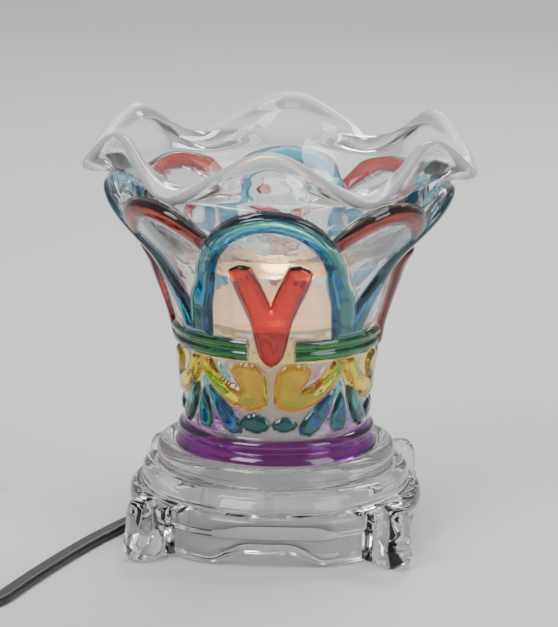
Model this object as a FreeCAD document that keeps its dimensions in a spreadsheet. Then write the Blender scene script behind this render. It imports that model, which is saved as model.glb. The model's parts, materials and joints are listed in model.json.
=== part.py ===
import FreeCAD, Part
import math
import os

import Sketcher

# Electric wax melt warmer: a ruffled clear glass dish rests in the scalloped rim of a moulded glass
# shade, the shade stands on a stepped clear glass base with four bun feet, and a white housing in
# the base holds a twist-lock reflector lamp. The flat twin lead runs out under the base to an
# in-line dimmer, is put away in a tied coil, and ends in a two-blade plug.
# The origin is the middle of the base on the table, +Z is up, and -Y is the front. Millimetres.

document = FreeCAD.newDocument("WaxMeltWarmer")

SIZES = {
    # Stepped glass base
    "skirt_radius": 45.0,
    "skirt_lift": 0.6,
    "skirt_height": 11.0,
    "low_tier_radius": 46.8,
    "low_tier_top": 17.4,
    "mid_tier_radius": 42.6,
    "mid_tier_top": 23.6,
    "tier_bevel": 1.8,
    "collar_outer_radius": 38.2,
    "collar_inner_radius": 32.2,
    "collar_top": 30.4,
    "collar_bevel": 1.7,
    "web_top": 27.0,
    "web_thickness": 6.0,
    "skirt_wall": 5.4,
    "arch_half_width": 21.5,
    "arch_height": 6.1,
    "foot_side_offset": 39.2,
    "foot_front_offset": 37.4,
    "foot_flat_radius": 2.9,
    "foot_radius": 6.1,
    "foot_ball_height": 6.4,
    "foot_neck_radius": 5.4,
    "foot_neck_height": 9.6,
    "column_radius": 4.7,
    "column_top": 20.0,
    "rib_width": 5.0,
    "rib_top": 16.8,
    # White lamp housing in the base
    "housing_radius": 24.0,
    "housing_fit": 0.4,
    "housing_wall": 1.2,
    "housing_floor": 10.0,
    "flange_overhang": 1.9,
    "flange_thickness": 1.0,
    "clamp_ring_width": 5.0,
    "clamp_ring_height": 4.0,
    "clamp_ring_play": 0.06,
    "clamp_notch_radius": 1.6,
    "cap_radius": 20.0,
    "cap_wall": 1.5,
    "cap_bottom": 2.4,
    "screw_circle_radius": 8.0,
    "cap_screw_radius": 1.5,
    "cap_screw_head_radius": 2.8,
    "cap_screw_head_height": 1.4,
    "screw_play": 0.05,
    # Ceramic lamp holder
    "holder_radius": 13.6,
    "holder_top": 29.8,
    "holder_plate": 3.0,
    "holder_chamber_depth": 6.5,
    "holder_chamber_radius": 9.2,
    "pin_circle_radius": 5.0,
    "pin_head_radius": 2.5,
    "pin_neck_radius": 1.6,
    "pin_head_height": 2.6,
    "pin_play": 0.4,
    "twist_angle": 40.0,
    "contact_width": 4.0,
    "contact_length": 3.4,
    "contact_thickness": 0.6,
    # Reflector lamp
    "lamp_base_radius": 11.6,
    "lamp_base_height": 16.0,
    "lamp_gap": 0.3,
    "reflector_radius": 25.0,
    "reflector_rim_height": 3.0,
    "reflector_height": 28.0,
    "reflector_wall": 1.5,
    "reflector_shoulder_radius": 21.0,
    "reflector_shoulder_height": 14.0,
    "lens_thickness": 2.0,
    "capsule_radius": 4.6,
    "capsule_height": 15.0,
    # Moulded glass shade
    "shade_foot_radius": 31.2,
    "shade_foot_height": 1.6,
    "shade_bottom": 27.3,
    "shade_top": 115.5,
    "shade_neck_radius": 29.3,
    "shade_rim_radius": 54.0,
    "shade_wall": 3.0,
    "scallop_radius": 24.3,
    "scallop_axis_height": 91.2,
    "scallop_foot_height": 94.5,
    "upper_ring_height": 66.6,
    "upper_ring_relief": 1.6,
    "lower_ring_height": 32.7,
    "lower_ring_relief": 2.4,
    "ring_half_height": 3.4,
    "ring_groove": 0.9,
    # Ruffled glass dish
    "dish_foot_radius": 20.0,
    "dish_bottom": 88.0,
    "dish_neck_radius": 47.6,
    "dish_seat_gap": 0.35,
    "dish_wall": 3.8,
    "dish_peak_radius": 57.0,
    "dish_peak_top": 133.4,
    "dish_trough_radius": 62.5,
    "dish_trough_top": 120.2,
    # Flat twin lead
    "lead_width": 5.5,
    "lead_thickness": 2.8,
    "lead_edge": 0.9,
    "bushing_mouth": 26.0,
    "bushing_length": 15.4,
    "bushing_radius": 3.5,
    "bushing_mouth_radius": 3.1,
    "bushing_collar_radius": 3.7,
    "bushing_collar_length": 1.6,
    "lead_exit_height": 6.2,
    # Coil of the length that is put away
    "coil_turn_radius": 38.5,
    "coil_pitch": 6.1,
    "coil_layer_pitch": 3.7,
    "coil_height": 2.6,
    "coil_turns_in": 2.0,
    "coil_turns_out": 1.5,
    "coil_side_step": 5.4,
    "tie_width": 8.0,
    "tie_thickness": 0.8,
    "tie_play": 0.35,
    # In-line dimmer
    "dimmer_length": 46.0,
    "dimmer_width": 24.0,
    "dimmer_split": 4.2,
    "dimmer_top": 13.5,
    "dimmer_wall": 1.8,
    "dimmer_end_rounding": 8.0,
    "wheel_radius": 10.5,
    "wheel_height": 4.4,
    "wheel_bottom": 6.0,
    "wheel_offset": 5.0,
    "wheel_play": 0.6,
    "wheel_notch_depth": 0.9,
    "shaft_radius": 2.0,
    "shaft_play": 0.05,
    "control_body_size": 9.0,
    # Two-blade plug
    "plug_length": 30.0,
    "plug_width": 23.0,
    "plug_thickness": 13.0,
    "plug_nose_length": 12.0,
    "plug_nose_width": 9.0,
    "plug_rounding": 3.0,
    "blade_length": 16.0,
    "blade_height": 6.4,
    "wide_blade_height": 7.9,
    "blade_thickness": 1.5,
    "blade_spacing": 12.7,
    "blade_hole_radius": 1.6,
    # Overrun of every cutting tool past the face it cuts
    "overrun": 1.0,
}

sheet = document.addObject("Spreadsheet::Sheet", "Sizes")
for row, (alias, value) in enumerate(SIZES.items(), start=1):
    sheet.set(f"A{row}", alias)
    sheet.set(f"B{row}", str(value))
    sheet.setAlias(f"B{row}", alias)
document.recompute()


class Size:
    """A size, as its value in millimetres and as the sheet formula that gives it."""

    def __init__(self, value, formula):
        self.value = float(value)
        self.formula = formula

    def __float__(self):
        return self.value

    def __add__(self, other):
        return combined(self, other, "+", self.value + float(other))

    def __sub__(self, other):
        return combined(self, other, "-", self.value - float(other))

    def __mul__(self, other):
        return combined(self, other, "*", self.value * float(other))

    def __truediv__(self, other):
        return combined(self, other, "/", self.value / float(other))

    def __rmul__(self, other):
        return combined(other, self, "*", float(other) * self.value)

    def __radd__(self, other):
        return combined(other, self, "+", float(other) + self.value)

    def __neg__(self):
        return Size(-self.value, f"(-1 * {self.formula})")


def formula_of(term):
    return term.formula if isinstance(term, Size) else repr(float(term))


def combined(left, right, sign, value):
    return Size(value, f"({formula_of(left)} {sign} {formula_of(right)})")


class Sizes:
    """The sheet's sizes by name."""

    def __getattr__(self, name):
        return Size(sheet.get(name), f"Sizes.{name}")


size = Sizes()
ZERO = Size(0, "0")
parts = {}


def bind(item, path, wanted):
    """Ties one property of an object to the sheet."""
    item.setExpression(path, wanted.formula)


def keep(name, item):
    """Files a finished piece under the name that its file gets."""
    item.Label = name
    parts[name] = item
    return item


def new_body(name):
    return document.addObject("PartDesign::Body", name)


def origin_part(body, role):
    return next(item for item in body.Origin.OriginFeatures if item.Role == role)


def new_sketch(body, role, name, lift=ZERO):
    """A sketch on one of the body's own origin planes, lifted off it along the plane's normal."""
    sketch = body.newObject("Sketcher::SketchObject", name)
    sketch.AttachmentSupport = [(origin_part(body, role), "")]
    sketch.MapMode = "FlatFace"
    sketch.AttachmentOffset = FreeCAD.Placement(
        FreeCAD.Vector(0, 0, float(lift)), FreeCAD.Rotation()
    )
    if lift is not ZERO:
        bind(sketch, "AttachmentOffset.Base.z", lift)
    return sketch


def fix_point(sketch, index, point, x, y):
    """Holds one point of a sketch at its distances from the sketch's origin."""
    for kind, wanted in (("DistanceX", x), ("DistanceY", y)):
        if wanted is ZERO:
            axis = -2 if kind == "DistanceX" else -1
            sketch.addConstraint(
                Sketcher.Constraint("PointOnObject", index, point, axis)
            )
            continue
        number = sketch.addConstraint(
            Sketcher.Constraint(kind, -1, 1, index, point, float(wanted))
        )
        sketch.setExpression(f"Constraints[{number}]", wanted.formula)


def outline(sketch, corners):
    """A closed outline through corners (x, y) or (x, y, rounding), each held by the sheet."""
    count = len(corners)
    spots = [FreeCAD.Vector(float(c[0]), float(c[1]), 0) for c in corners]
    starts, ends = list(spots), list(spots)
    for i, corner in enumerate(corners):
        if len(corner) < 3:
            continue
        back = (spots[i - 1] - spots[i]).normalize()
        ahead = (spots[(i + 1) % count] - spots[i]).normalize()
        half = back.getAngle(ahead) / 2
        reach = float(corner[2]) / math.tan(half)
        ends[i] = spots[i] + back * reach
        starts[i] = spots[i] + ahead * reach
    lines = [
        sketch.addGeometry(Part.LineSegment(starts[i], ends[(i + 1) % count]))
        for i in range(count)
    ]
    for i, corner in enumerate(corners):
        before, after = lines[i - 1], lines[i]
        if len(corner) < 3:
            sketch.addConstraint(Sketcher.Constraint("Coincident", before, 2, after, 1))
            fix_point(sketch, after, 1, corner[0], corner[1])
            continue
        back = (spots[i - 1] - spots[i]).normalize()
        ahead = (spots[(i + 1) % count] - spots[i]).normalize()
        half = back.getAngle(ahead) / 2
        inward = (back + ahead).normalize()
        centre = spots[i] + inward * (float(corner[2]) / math.sin(half))
        middle = centre - inward * float(corner[2])
        arc = Part.Arc(ends[i], middle, starts[i])
        rounding = sketch.addGeometry(arc)
        turns_left = sketch.Geometry[rounding].StartPoint.isEqual(ends[i], 1e-6)
        first, second = (1, 2) if turns_left else (2, 1)
        sketch.addConstraint(
            Sketcher.Constraint("Tangent", before, 2, rounding, first)
        )
        sketch.addConstraint(
            Sketcher.Constraint("Tangent", after, 1, rounding, second)
        )
        number = sketch.addConstraint(
            Sketcher.Constraint("Radius", rounding, float(corner[2]))
        )
        sketch.setExpression(f"Constraints[{number}]", corner[2].formula)
        spot = sketch.addGeometry(Part.Point(spots[i]), True)
        sketch.addConstraint(Sketcher.Constraint("PointOnObject", spot, 1, before))
        sketch.addConstraint(Sketcher.Constraint("PointOnObject", spot, 1, after))
        fix_point(sketch, spot, 1, corner[0], corner[1])


def circle(sketch, x, y, radius):
    """A circle whose middle and radius the sheet holds."""
    index = sketch.addGeometry(
        Part.Circle(FreeCAD.Vector(float(x), float(y), 0), FreeCAD.Vector(0, 0, 1), float(radius))
    )
    fix_point(sketch, index, 3, x, y)
    number = sketch.addConstraint(Sketcher.Constraint("Radius", index, float(radius)))
    sketch.setExpression(f"Constraints[{number}]", radius.formula)


def turned(body, name, corners, cut=False):
    """A revolved profile about the body's Z axis, its corners given as radius and height."""
    sketch = new_sketch(body, "XZ_Plane", f"{name}_profile")
    outline(sketch, corners)
    kind = "PartDesign::Groove" if cut else "PartDesign::Revolution"
    feature = body.newObject(kind, name)
    feature.Profile = sketch
    feature.ReferenceAxis = (sketch, ["V_Axis"])
    feature.Angle = 360
    return feature


def padded(body, name, lift, height, draw, cut=False):
    """What draw() puts into a level sketch, raised from lift by height, or cut away there."""
    sketch = new_sketch(body, "XY_Plane", f"{name}_outline", lift)
    draw(sketch)
    kind = "PartDesign::Pocket" if cut else "PartDesign::Pad"
    feature = body.newObject(kind, name)
    feature.Profile = sketch
    feature.Length = float(height)
    bind(feature, "Length", height)
    feature.Reversed = cut
    return feature


def around(body, name, feature, count):
    """Copies of a feature, evenly spaced about the body's Z axis."""
    pattern = body.newObject("PartDesign::PolarPattern", name)
    pattern.Originals = [feature]
    pattern.Axis = (origin_part(body, "Z_Axis"), [""])
    pattern.Angle = 360
    pattern.Occurrences = count
    body.Tip = pattern
    return pattern


def rectangle(x0, y0, x1, y1, rounding=None):
    corners = [(x0, y0), (x1, y0), (x1, y1), (x0, y1)]
    if rounding is None:
        return corners
    return [(*corner, rounding) for corner in corners]


def as_feature(name, shape):
    feature = document.addObject("Part::Feature", name)
    feature.Shape = shape
    return keep(name, feature)


# Moulded glass is built from rings of points, with flat facets from each ring to the next. A ring
# gives a radius and a height for each turn about the upright axis.
def facet_skin(rings, count, closed):
    """The faces between each ring and the next, and from the last back to the first if closed."""
    lines = []
    for ring in rings:
        spots = []
        for k in range(count):
            turn = 2 * math.pi * k / count
            radius, height = ring(turn)
            spots.append(FreeCAD.Vector(radius * math.sin(turn), -radius * math.cos(turn), height))
        lines.append(spots)
    pairs = list(zip(lines, lines[1:]))
    if closed:
        pairs.append((lines[-1], lines[0]))
    faces = []
    for lower, upper in pairs:
        for k in range(count):
            n = (k + 1) % count
            corners = [lower[k], lower[n], upper[n], upper[k]]
            level = max(abs(lower[k].z - lower[n].z), abs(upper[k].z - upper[n].z))
            if level < 1e-9:
                faces.append(flat_face(corners))
                continue
            faces.append(flat_face([corners[0], corners[1], corners[2]]))
            faces.append(flat_face([corners[0], corners[2], corners[3]]))
    if not closed:
        faces.append(flat_face(lines[0]))
        faces.append(flat_face(lines[-1]))
    return faces


def flat_face(corners):
    return Part.Face(Part.makePolygon(corners + corners[:1]))


def solid_of(faces):
    skin = Part.makeShell(faces)
    skin.sewShape()
    solid = Part.Solid(skin)
    if solid.Volume < 0:
        solid.reverse()
    return solid


def level_ring(radius, height):
    return lambda turn: (radius, height)


# The glass base is a stepped drum with a beaded collar, hollow underneath, with a hole in its web for
# the lamp housing. Its skirt is arched between four bun feet, each the foot of a domed column that a
# short rib joins to the drum. The arch is a share of its half width and of its height.
DRUM_FACETS = 72
COLUMN_FACETS = 16
ARCH_SHARES = ((1.0, 0.1), (0.72, 0.46), (0.52, 0.76), (0.37, 0.91), (0.14, 1.0))


def stepped_drum():
    hole = float(size.housing_radius + size.housing_fit)
    ceiling = float(size.web_top - size.web_thickness)
    inner_wall = float(size.skirt_radius - size.skirt_wall)
    bevel = float(size.tier_bevel)
    lip = float(size.collar_bevel)
    foot = float(size.skirt_lift)
    places = [
        (hole, ceiling),
        (inner_wall, ceiling),
        (inner_wall, foot),
        (float(size.skirt_radius), foot),
        (float(size.skirt_radius), float(size.skirt_height)),
        (float(size.low_tier_radius), float(size.skirt_height)),
        (float(size.low_tier_radius), float(size.low_tier_top) - bevel),
        (float(size.low_tier_radius) - bevel, float(size.low_tier_top)),
        (float(size.mid_tier_radius), float(size.low_tier_top)),
        (float(size.mid_tier_radius), float(size.mid_tier_top) - bevel),
        (float(size.mid_tier_radius) - bevel, float(size.mid_tier_top)),
        (float(size.collar_outer_radius) - lip, float(size.mid_tier_top)),
        (float(size.collar_outer_radius), float(size.mid_tier_top) + lip),
        (float(size.collar_outer_radius), float(size.collar_top) - lip),
        (float(size.collar_outer_radius) - lip, float(size.collar_top)),
        (float(size.collar_inner_radius) + lip, float(size.collar_top)),
        (float(size.collar_inner_radius), float(size.collar_top) - lip),
        (float(size.collar_inner_radius), float(size.web_top)),
        (hole, float(size.web_top)),
    ]
    rings = [level_ring(radius, height) for radius, height in places]
    return solid_of(facet_skin(rings, DRUM_FACETS, True))


def column_and_foot():
    ball = float(size.foot_ball_height)
    stem = float(size.column_radius)
    top = float(size.column_top)
    places = [
        (float(size.foot_flat_radius), 0.0),
        (float(size.foot_radius) * 0.87, ball * 0.3),
        (float(size.foot_radius), ball * 0.7),
        (float(size.foot_radius), ball),
        (float(size.foot_neck_radius), float(size.foot_neck_height)),
        (stem, top - stem * 0.6),
        (stem * 0.6, top),
    ]
    rings = [level_ring(radius, height) for radius, height in places]
    return solid_of(facet_skin(rings, COLUMN_FACETS, False))


def column_rib(across, along):
    """A rib from the drum's wall out to the middle of the column at this place."""
    start = float(size.mid_tier_radius + size.skirt_radius - size.skirt_wall) / 2
    foot = float(size.skirt_lift) * 2
    width = float(size.rib_width)
    rib = Part.makeBox(
        math.hypot(across, along) - start,
        width,
        float(size.rib_top) - foot,
        FreeCAD.Vector(start, -width / 2, foot),
    )
    middle = FreeCAD.Vector(0, 0, 0)
    rib.rotate(middle, FreeCAD.Vector(0, 0, 1), math.degrees(math.atan2(along, across)))
    return rib


def skirt_arch(turn):
    """A tunnel through the skirt from side to side, turned about the upright axis."""
    half = float(size.arch_half_width)
    rise = float(size.arch_height)
    reach = float(size.low_tier_radius) + float(size.overrun)
    right = [(half * out, rise * up) for out, up in ARCH_SHARES]
    spots = [(half, -float(size.overrun)), *right]
    spots += [(-x, z) for x, z in reversed(spots)]
    corners = [FreeCAD.Vector(x, -reach, z) for x, z in spots]
    tunnel = flat_face(corners).extrude(FreeCAD.Vector(0, reach * 2, 0))
    tunnel.rotate(FreeCAD.Vector(0, 0, 0), FreeCAD.Vector(0, 0, 1), turn)
    return tunnel


def glass_base():
    glass = stepped_drum().cut([skirt_arch(0), skirt_arch(90)])
    side = float(size.foot_side_offset)
    front = float(size.foot_front_offset)
    added = []
    for across in (side, -side):
        for along in (front, -front):
            column = column_and_foot()
            column.translate(FreeCAD.Vector(across, along, 0))
            added += [column_rib(across, along), column]
    glass = glass.fuse(added).removeSplitter()
    return as_feature("glass_base", glass.Solids[0])


# The white steel housing hangs in the web by its flange and is clamped from below by a notched ring.
def housing_cup():
    body = new_body("housing_cup_body")
    inner = size.housing_radius - size.housing_wall
    floor_top = size.housing_floor + size.housing_wall
    flange_top = size.web_top + size.flange_thickness
    turned(
        body,
        "flanged_cup",
        [
            (ZERO, size.housing_floor),
            (size.housing_radius, size.housing_floor),
            (size.housing_radius, size.web_top),
            (size.housing_radius + size.flange_overhang, size.web_top),
            (size.housing_radius + size.flange_overhang, flange_top),
            (inner, flange_top),
            (inner, floor_top),
            (ZERO, floor_top),
        ],
    )
    document.recompute()
    padded(
        body,
        "screw_holes",
        size.housing_floor - size.overrun,
        size.housing_wall + size.overrun * 2,
        lambda sketch: [
            circle(sketch, x, ZERO, size.cap_screw_radius + size.screw_play)
            for x in (size.screw_circle_radius, -size.screw_circle_radius)
        ],
        cut=True,
    ).Reversed = True
    return keep("housing_cup", body)


def clamp_ring():
    body = new_body("clamp_ring_body")
    inner = size.housing_radius + size.clamp_ring_play
    outer = size.housing_radius + size.clamp_ring_width
    top = size.web_top - size.web_thickness
    bottom = top - size.clamp_ring_height
    turned(
        body,
        "plain_ring",
        [
            (inner, bottom),
            (outer, bottom),
            (outer, top),
            (inner, top),
        ],
    )
    document.recompute()
    notch = padded(
        body,
        "grip_notch",
        bottom - size.overrun,
        size.clamp_ring_height + size.overrun * 2,
        lambda sketch: circle(sketch, outer, ZERO, size.clamp_notch_radius),
        cut=True,
    )
    document.recompute()
    around(body, "grip_notches", notch, 8)
    return keep("clamp_ring", body)


# The bottom cap covers the wiring under the housing, and the lead leaves through its side.
def bottom_cap():
    body = new_body("bottom_cap_body")
    inner = size.cap_radius - size.cap_wall
    floor_top = size.cap_bottom + size.cap_wall
    turned(
        body,
        "shallow_cap",
        [
            (ZERO, size.cap_bottom),
            (size.cap_radius, size.cap_bottom),
            (size.cap_radius, size.housing_floor),
            (inner, size.housing_floor),
            (inner, floor_top),
            (ZERO, floor_top),
        ],
    )
    document.recompute()
    padded(
        body,
        "screw_holes",
        size.cap_bottom - size.overrun,
        size.cap_wall + size.overrun * 2,
        lambda sketch: [
            circle(sketch, x, ZERO, size.cap_screw_radius + size.screw_play)
            for x in (size.screw_circle_radius, -size.screw_circle_radius)
        ],
        cut=True,
    )
    document.recompute()
    sketch = new_sketch(body, "YZ_Plane", "lead_hole_outline")
    circle(sketch, ZERO, size.lead_exit_height, size.bushing_radius)
    hole = body.newObject("PartDesign::Pocket", "lead_hole")
    hole.Profile = sketch
    hole.Length = float(size.cap_radius + size.overrun)
    bind(hole, "Length", size.cap_radius + size.overrun)
    document.recompute()
    return keep("bottom_cap", body)


def cap_screws():
    """Two screws from below hold the cap and the housing's floor against the lamp holder."""
    body = new_body("cap_screws_body")
    head_bottom = size.cap_bottom - size.cap_screw_head_height
    tip = size.housing_floor + size.housing_wall
    for side in (size.screw_circle_radius, -size.screw_circle_radius):
        tag = "right" if float(side) > 0 else "left"
        padded(
            body,
            f"{tag}_head",
            head_bottom,
            size.cap_screw_head_height,
            lambda sketch, x=side: circle(sketch, x, ZERO, size.cap_screw_head_radius),
        )
        document.recompute()
        padded(
            body,
            f"{tag}_shank",
            size.cap_bottom,
            tip - size.cap_bottom,
            lambda sketch, x=side: circle(sketch, x, ZERO, size.cap_screw_radius),
        )
        document.recompute()
    return keep("cap_screws", body)


def keyhole_wall(sketch, middle_radius, half_width):
    """A slot along the pin circle, from the locked place back to the entry hole."""
    sweep = math.radians(float(size.twist_angle))
    reach = float(middle_radius)
    width = float(half_width)
    x_axis = FreeCAD.Vector(0, 0, 1)
    middle = FreeCAD.Vector(0, 0, 0)
    outer = Part.ArcOfCircle(Part.Circle(middle, x_axis, reach + width), 0, sweep)
    inner = Part.ArcOfCircle(Part.Circle(middle, x_axis, reach - width), 0, sweep)
    start = FreeCAD.Vector(reach, 0, 0)
    end = FreeCAD.Vector(reach * math.cos(sweep), reach * math.sin(sweep), 0)
    near = Part.ArcOfCircle(Part.Circle(start, x_axis, width), math.pi, 2 * math.pi)
    far = Part.ArcOfCircle(Part.Circle(end, x_axis, width), sweep, sweep + math.pi)
    for edge in (outer, far, inner, near):
        sketch.addGeometry(edge)


# The ceramic holder takes the lamp's two headed pins in keyhole slots, over a chamber with springy
# contacts.
def lamp_holder():
    body = new_body("lamp_holder_body")
    bottom = size.housing_floor + size.housing_wall
    plate_bottom = size.holder_top - size.holder_plate
    chamber_bottom = plate_bottom - size.holder_chamber_depth
    turned(
        body,
        "ceramic_block",
        [
            (ZERO, bottom),
            (size.holder_radius, bottom),
            (size.holder_radius, size.holder_top),
            (ZERO, size.holder_top),
            (ZERO, plate_bottom),
            (size.holder_chamber_radius, plate_bottom),
            (size.holder_chamber_radius, chamber_bottom),
            (ZERO, chamber_bottom),
        ],
    )
    document.recompute()
    sketch = new_sketch(
        body, "XY_Plane", "keyhole_slot_outline", plate_bottom - size.overrun
    )
    keyhole_wall(
        sketch, size.pin_circle_radius, size.pin_neck_radius + size.pin_play
    )
    slot = body.newObject("PartDesign::Pocket", "keyhole_slot")
    slot.Profile = sketch
    slot.Length = float(size.holder_plate + size.overrun * 2)
    bind(slot, "Length", size.holder_plate + size.overrun * 2)
    slot.Reversed = True
    document.recompute()
    around(body, "keyhole_slots", slot, 2)
    document.recompute()
    turn = math.radians(float(size.twist_angle))
    entry = padded(
        body,
        "entry_hole",
        plate_bottom - size.overrun,
        size.holder_plate + size.overrun * 2,
        lambda sketch: circle(
            sketch,
            size.pin_circle_radius * math.cos(turn),
            size.pin_circle_radius * math.sin(turn),
            size.pin_head_radius + size.pin_play,
        ),
        cut=True,
    )
    document.recompute()
    around(body, "entry_holes", entry, 2)
    return keep("lamp_holder", body)


def holder_contacts():
    """A brass leaf under each pin's locked place, on a leg that stands on the chamber's floor."""
    body = new_body("holder_contacts_body")
    chamber_bottom = size.holder_top - size.holder_plate - size.holder_chamber_depth
    pin_bottom = size.holder_top - size.holder_plate
    leaf_top = pin_bottom - size.pin_play - size.pin_head_height - size.screw_play
    out = size.pin_circle_radius + size.contact_length / 2
    inside = size.pin_circle_radius - size.contact_length / 2
    leg = out - size.contact_thickness
    sketch = new_sketch(body, "XZ_Plane", "leaf_side", -size.contact_width / 2)
    outline(
        sketch,
        [
            (inside, leaf_top - size.contact_thickness),
            (leg, leaf_top - size.contact_thickness),
            (leg, chamber_bottom),
            (out, chamber_bottom),
            (out, leaf_top),
            (inside, leaf_top),
        ],
    )
    leaf = body.newObject("PartDesign::Pad", "contact_leaf")
    leaf.Profile = sketch
    leaf.Length = float(size.contact_width)
    bind(leaf, "Length", size.contact_width)
    document.recompute()
    around(body, "contact_leaves", leaf, 2)
    return keep("holder_contacts", body)


# The reflector lamp: a ceramic base with two headed pins, a faceted glass reflector, a capsule and
# a lens.
def lamp():
    bottom = size.holder_top + size.lamp_gap
    base_top = bottom + size.lamp_base_height
    base = new_body("lamp_base_body")
    turned(
        base,
        "ceramic_foot",
        [
            (ZERO, bottom),
            (size.lamp_base_radius, bottom),
            (size.lamp_base_radius, base_top),
            (ZERO, base_top),
        ],
    )
    keep("lamp_base", base)
    pins = new_body("lamp_pins_body")
    neck_bottom = bottom - size.lamp_gap - size.holder_plate - size.pin_play
    padded(
        pins,
        "pin_head",
        neck_bottom - size.pin_head_height,
        size.pin_head_height,
        lambda sketch: circle(
            sketch, size.pin_circle_radius, ZERO, size.pin_head_radius
        ),
    )
    document.recompute()
    head = pins.Tip
    around(pins, "pin_heads", head, 2)
    document.recompute()
    padded(
        pins,
        "pin_neck",
        neck_bottom,
        bottom - neck_bottom,
        lambda sketch: circle(
            sketch, size.pin_circle_radius, ZERO, size.pin_neck_radius
        ),
    )
    document.recompute()
    neck = pins.Tip
    around(pins, "pin_necks", neck, 2)
    keep("lamp_pins", pins)
    top = base_top + size.reflector_height
    rim_bottom = top - size.reflector_rim_height
    shoulder = top - size.reflector_shoulder_height
    wall = size.reflector_wall
    profile = [
        (size.lamp_base_radius, base_top),
        (size.reflector_shoulder_radius, shoulder),
        (size.reflector_radius, rim_bottom),
        (size.reflector_radius, top - size.lens_thickness),
        (size.reflector_radius - wall, top - size.lens_thickness),
        (size.reflector_shoulder_radius - wall, shoulder),
        (size.capsule_radius + wall, base_top + wall),
    ]
    rings = [level_ring(float(radius), float(height)) for radius, height in profile]
    as_feature("lamp_reflector", solid_of(facet_skin(rings, 36, False)))
    lens = new_body("lamp_lens_body")
    turned(
        lens,
        "front_glass",
        [
            (ZERO, top - size.lens_thickness),
            (size.reflector_radius, top - size.lens_thickness),
            (size.reflector_radius, top),
            (ZERO, top),
        ],
    )
    keep("lamp_lens", lens)
    capsule = new_body("lamp_capsule_body")
    turned(
        capsule,
        "halogen_capsule",
        [
            (ZERO, base_top + wall),
            (size.capsule_radius, base_top + wall),
            (size.capsule_radius, base_top + wall + size.capsule_height - size.capsule_radius / 2),
            (size.capsule_radius / 2, base_top + wall + size.capsule_height),
            (ZERO, base_top + wall + size.capsule_height),
        ],
    )
    keep("lamp_capsule", capsule)


# Moulded glass is skinned with flat facets between rings of points, each ring about the upright
# axis. A ring is a function that gives the radius and the height at a turn.
# The shade's wall flares like a tulip: heights are shares of the way from its foot to the scallops,
# with the outer face's radius there as a share of the flare from neck to rim. Above that the wall
# runs on to the scalloped rim.
FLARE_SHARES = (
    (0.13, 0.0),
    (0.30, 0.02),
    (0.45, 0.075),
    (0.63, 0.145),
    (0.755, 0.255),
    (0.88, 0.395),
    (1.0, 0.56),
)
RIM_SHARES = ((0.34, 0.75), (0.68, 0.9), (1.0, 1.0))


def rim_height(turn):
    """The height of the eight-lobed rim: the highest of the lobes' arcs at this turn."""
    eighth = math.pi / 4
    off = (turn + eighth / 2) % eighth - eighth / 2
    aside = float(size.shade_rim_radius) * math.sin(off)
    lobe = float(size.scallop_radius)
    return float(size.scallop_axis_height) + math.sqrt(lobe * lobe - aside * aside)


def flare_radius(height):
    """The outer face's radius between two of the flare's given places."""
    low = float(size.shade_bottom)
    foot = float(size.scallop_foot_height)
    neck = float(size.shade_neck_radius)
    wide = float(size.shade_rim_radius) - neck
    places = [(low, neck)]
    for up, out in FLARE_SHARES:
        places.append((low + (foot - low) * up, neck + wide * out))
    for (z0, r0), (z1, r1) in zip(places, places[1:]):
        if height <= z1:
            return r0 + (r1 - r0) * (height - z0) / (z1 - z0)
    return places[-1][1]


def ring_beads(middle, relief):
    """The rings of a doubled bead round the shade, up one bead, into the groove, and up the other."""
    half = float(size.ring_half_height)
    groove = float(size.ring_groove)
    shape = (
        (-half, 0.0),
        (-half * 0.7, relief),
        (-half * 0.3, relief),
        (0.0, relief - groove),
        (half * 0.3, relief),
        (half * 0.7, relief),
        (half, 0.0),
    )
    return [
        level_ring(flare_radius(middle + up) + out, middle + up) for up, out in shape
    ]


def rim_ring(up, out, inward):
    """A ring of the wall above the scallops' foot, at a share of the way up to the rim."""
    foot = float(size.scallop_foot_height)
    neck = float(size.shade_neck_radius)
    wide = float(size.shade_rim_radius) - neck

    def place(turn):
        height = foot + (rim_height(turn) - foot) * up
        reach = (height - foot) / (float(size.shade_top) - foot)
        base = FLARE_SHARES[-1][1]
        share = base + (out - base) * reach / up
        return neck + wide * share - inward, height

    return place


# The shade: a flared glass wall on a narrow foot, with an eight-lobed rim and two doubled rings.
def glass_shade():
    low = float(size.shade_bottom)
    foot_height = float(size.shade_foot_height)
    scallop_foot = float(size.scallop_foot_height)
    wall = float(size.shade_wall)
    upper = float(size.upper_ring_height)
    lower = float(size.lower_ring_height)
    half = float(size.ring_half_height)
    bore = float(size.shade_neck_radius - size.shade_wall)
    rings = [
        level_ring(float(size.shade_foot_radius), low),
        level_ring(float(size.shade_foot_radius), low + foot_height),
    ]
    rings += ring_beads(lower, float(size.lower_ring_relief))
    heights = [low + (scallop_foot - low) * up for up, out in FLARE_SHARES]
    clear = [h for h in heights if h > lower + half]
    for height in (h for h in clear if h < upper - half):
        rings.append(level_ring(flare_radius(height), height))
    rings += ring_beads(upper, float(size.upper_ring_relief))
    for height in (h for h in clear if h > upper + half):
        rings.append(level_ring(flare_radius(height), height))
    rings += [rim_ring(up, out, 0.0) for up, out in RIM_SHARES]
    rings += [rim_ring(up, out, wall) for up, out in reversed(RIM_SHARES)]
    rings += [level_ring(flare_radius(h) - wall, h) for h in reversed(heights)]
    rings.append(level_ring(bore, low))
    return as_feature("glass_shade", solid_of(facet_skin(rings, 64, True)))


# The dish is a bowl that stands in the shade's rim and flares into six ruffles, peaks and troughs in
# turn. Its rings run out along the underside, round the lip, and back down inside.
def ruffle_ring(trough, peak):
    """A ring whose radius and height swing between a trough and a peak six times."""

    def place(turn):
        share = (1 + math.cos(6 * turn)) / 2
        return (
            trough[0] + (peak[0] - trough[0]) * share,
            trough[1] + (peak[1] - trough[1]) * share,
        )

    return place


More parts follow.
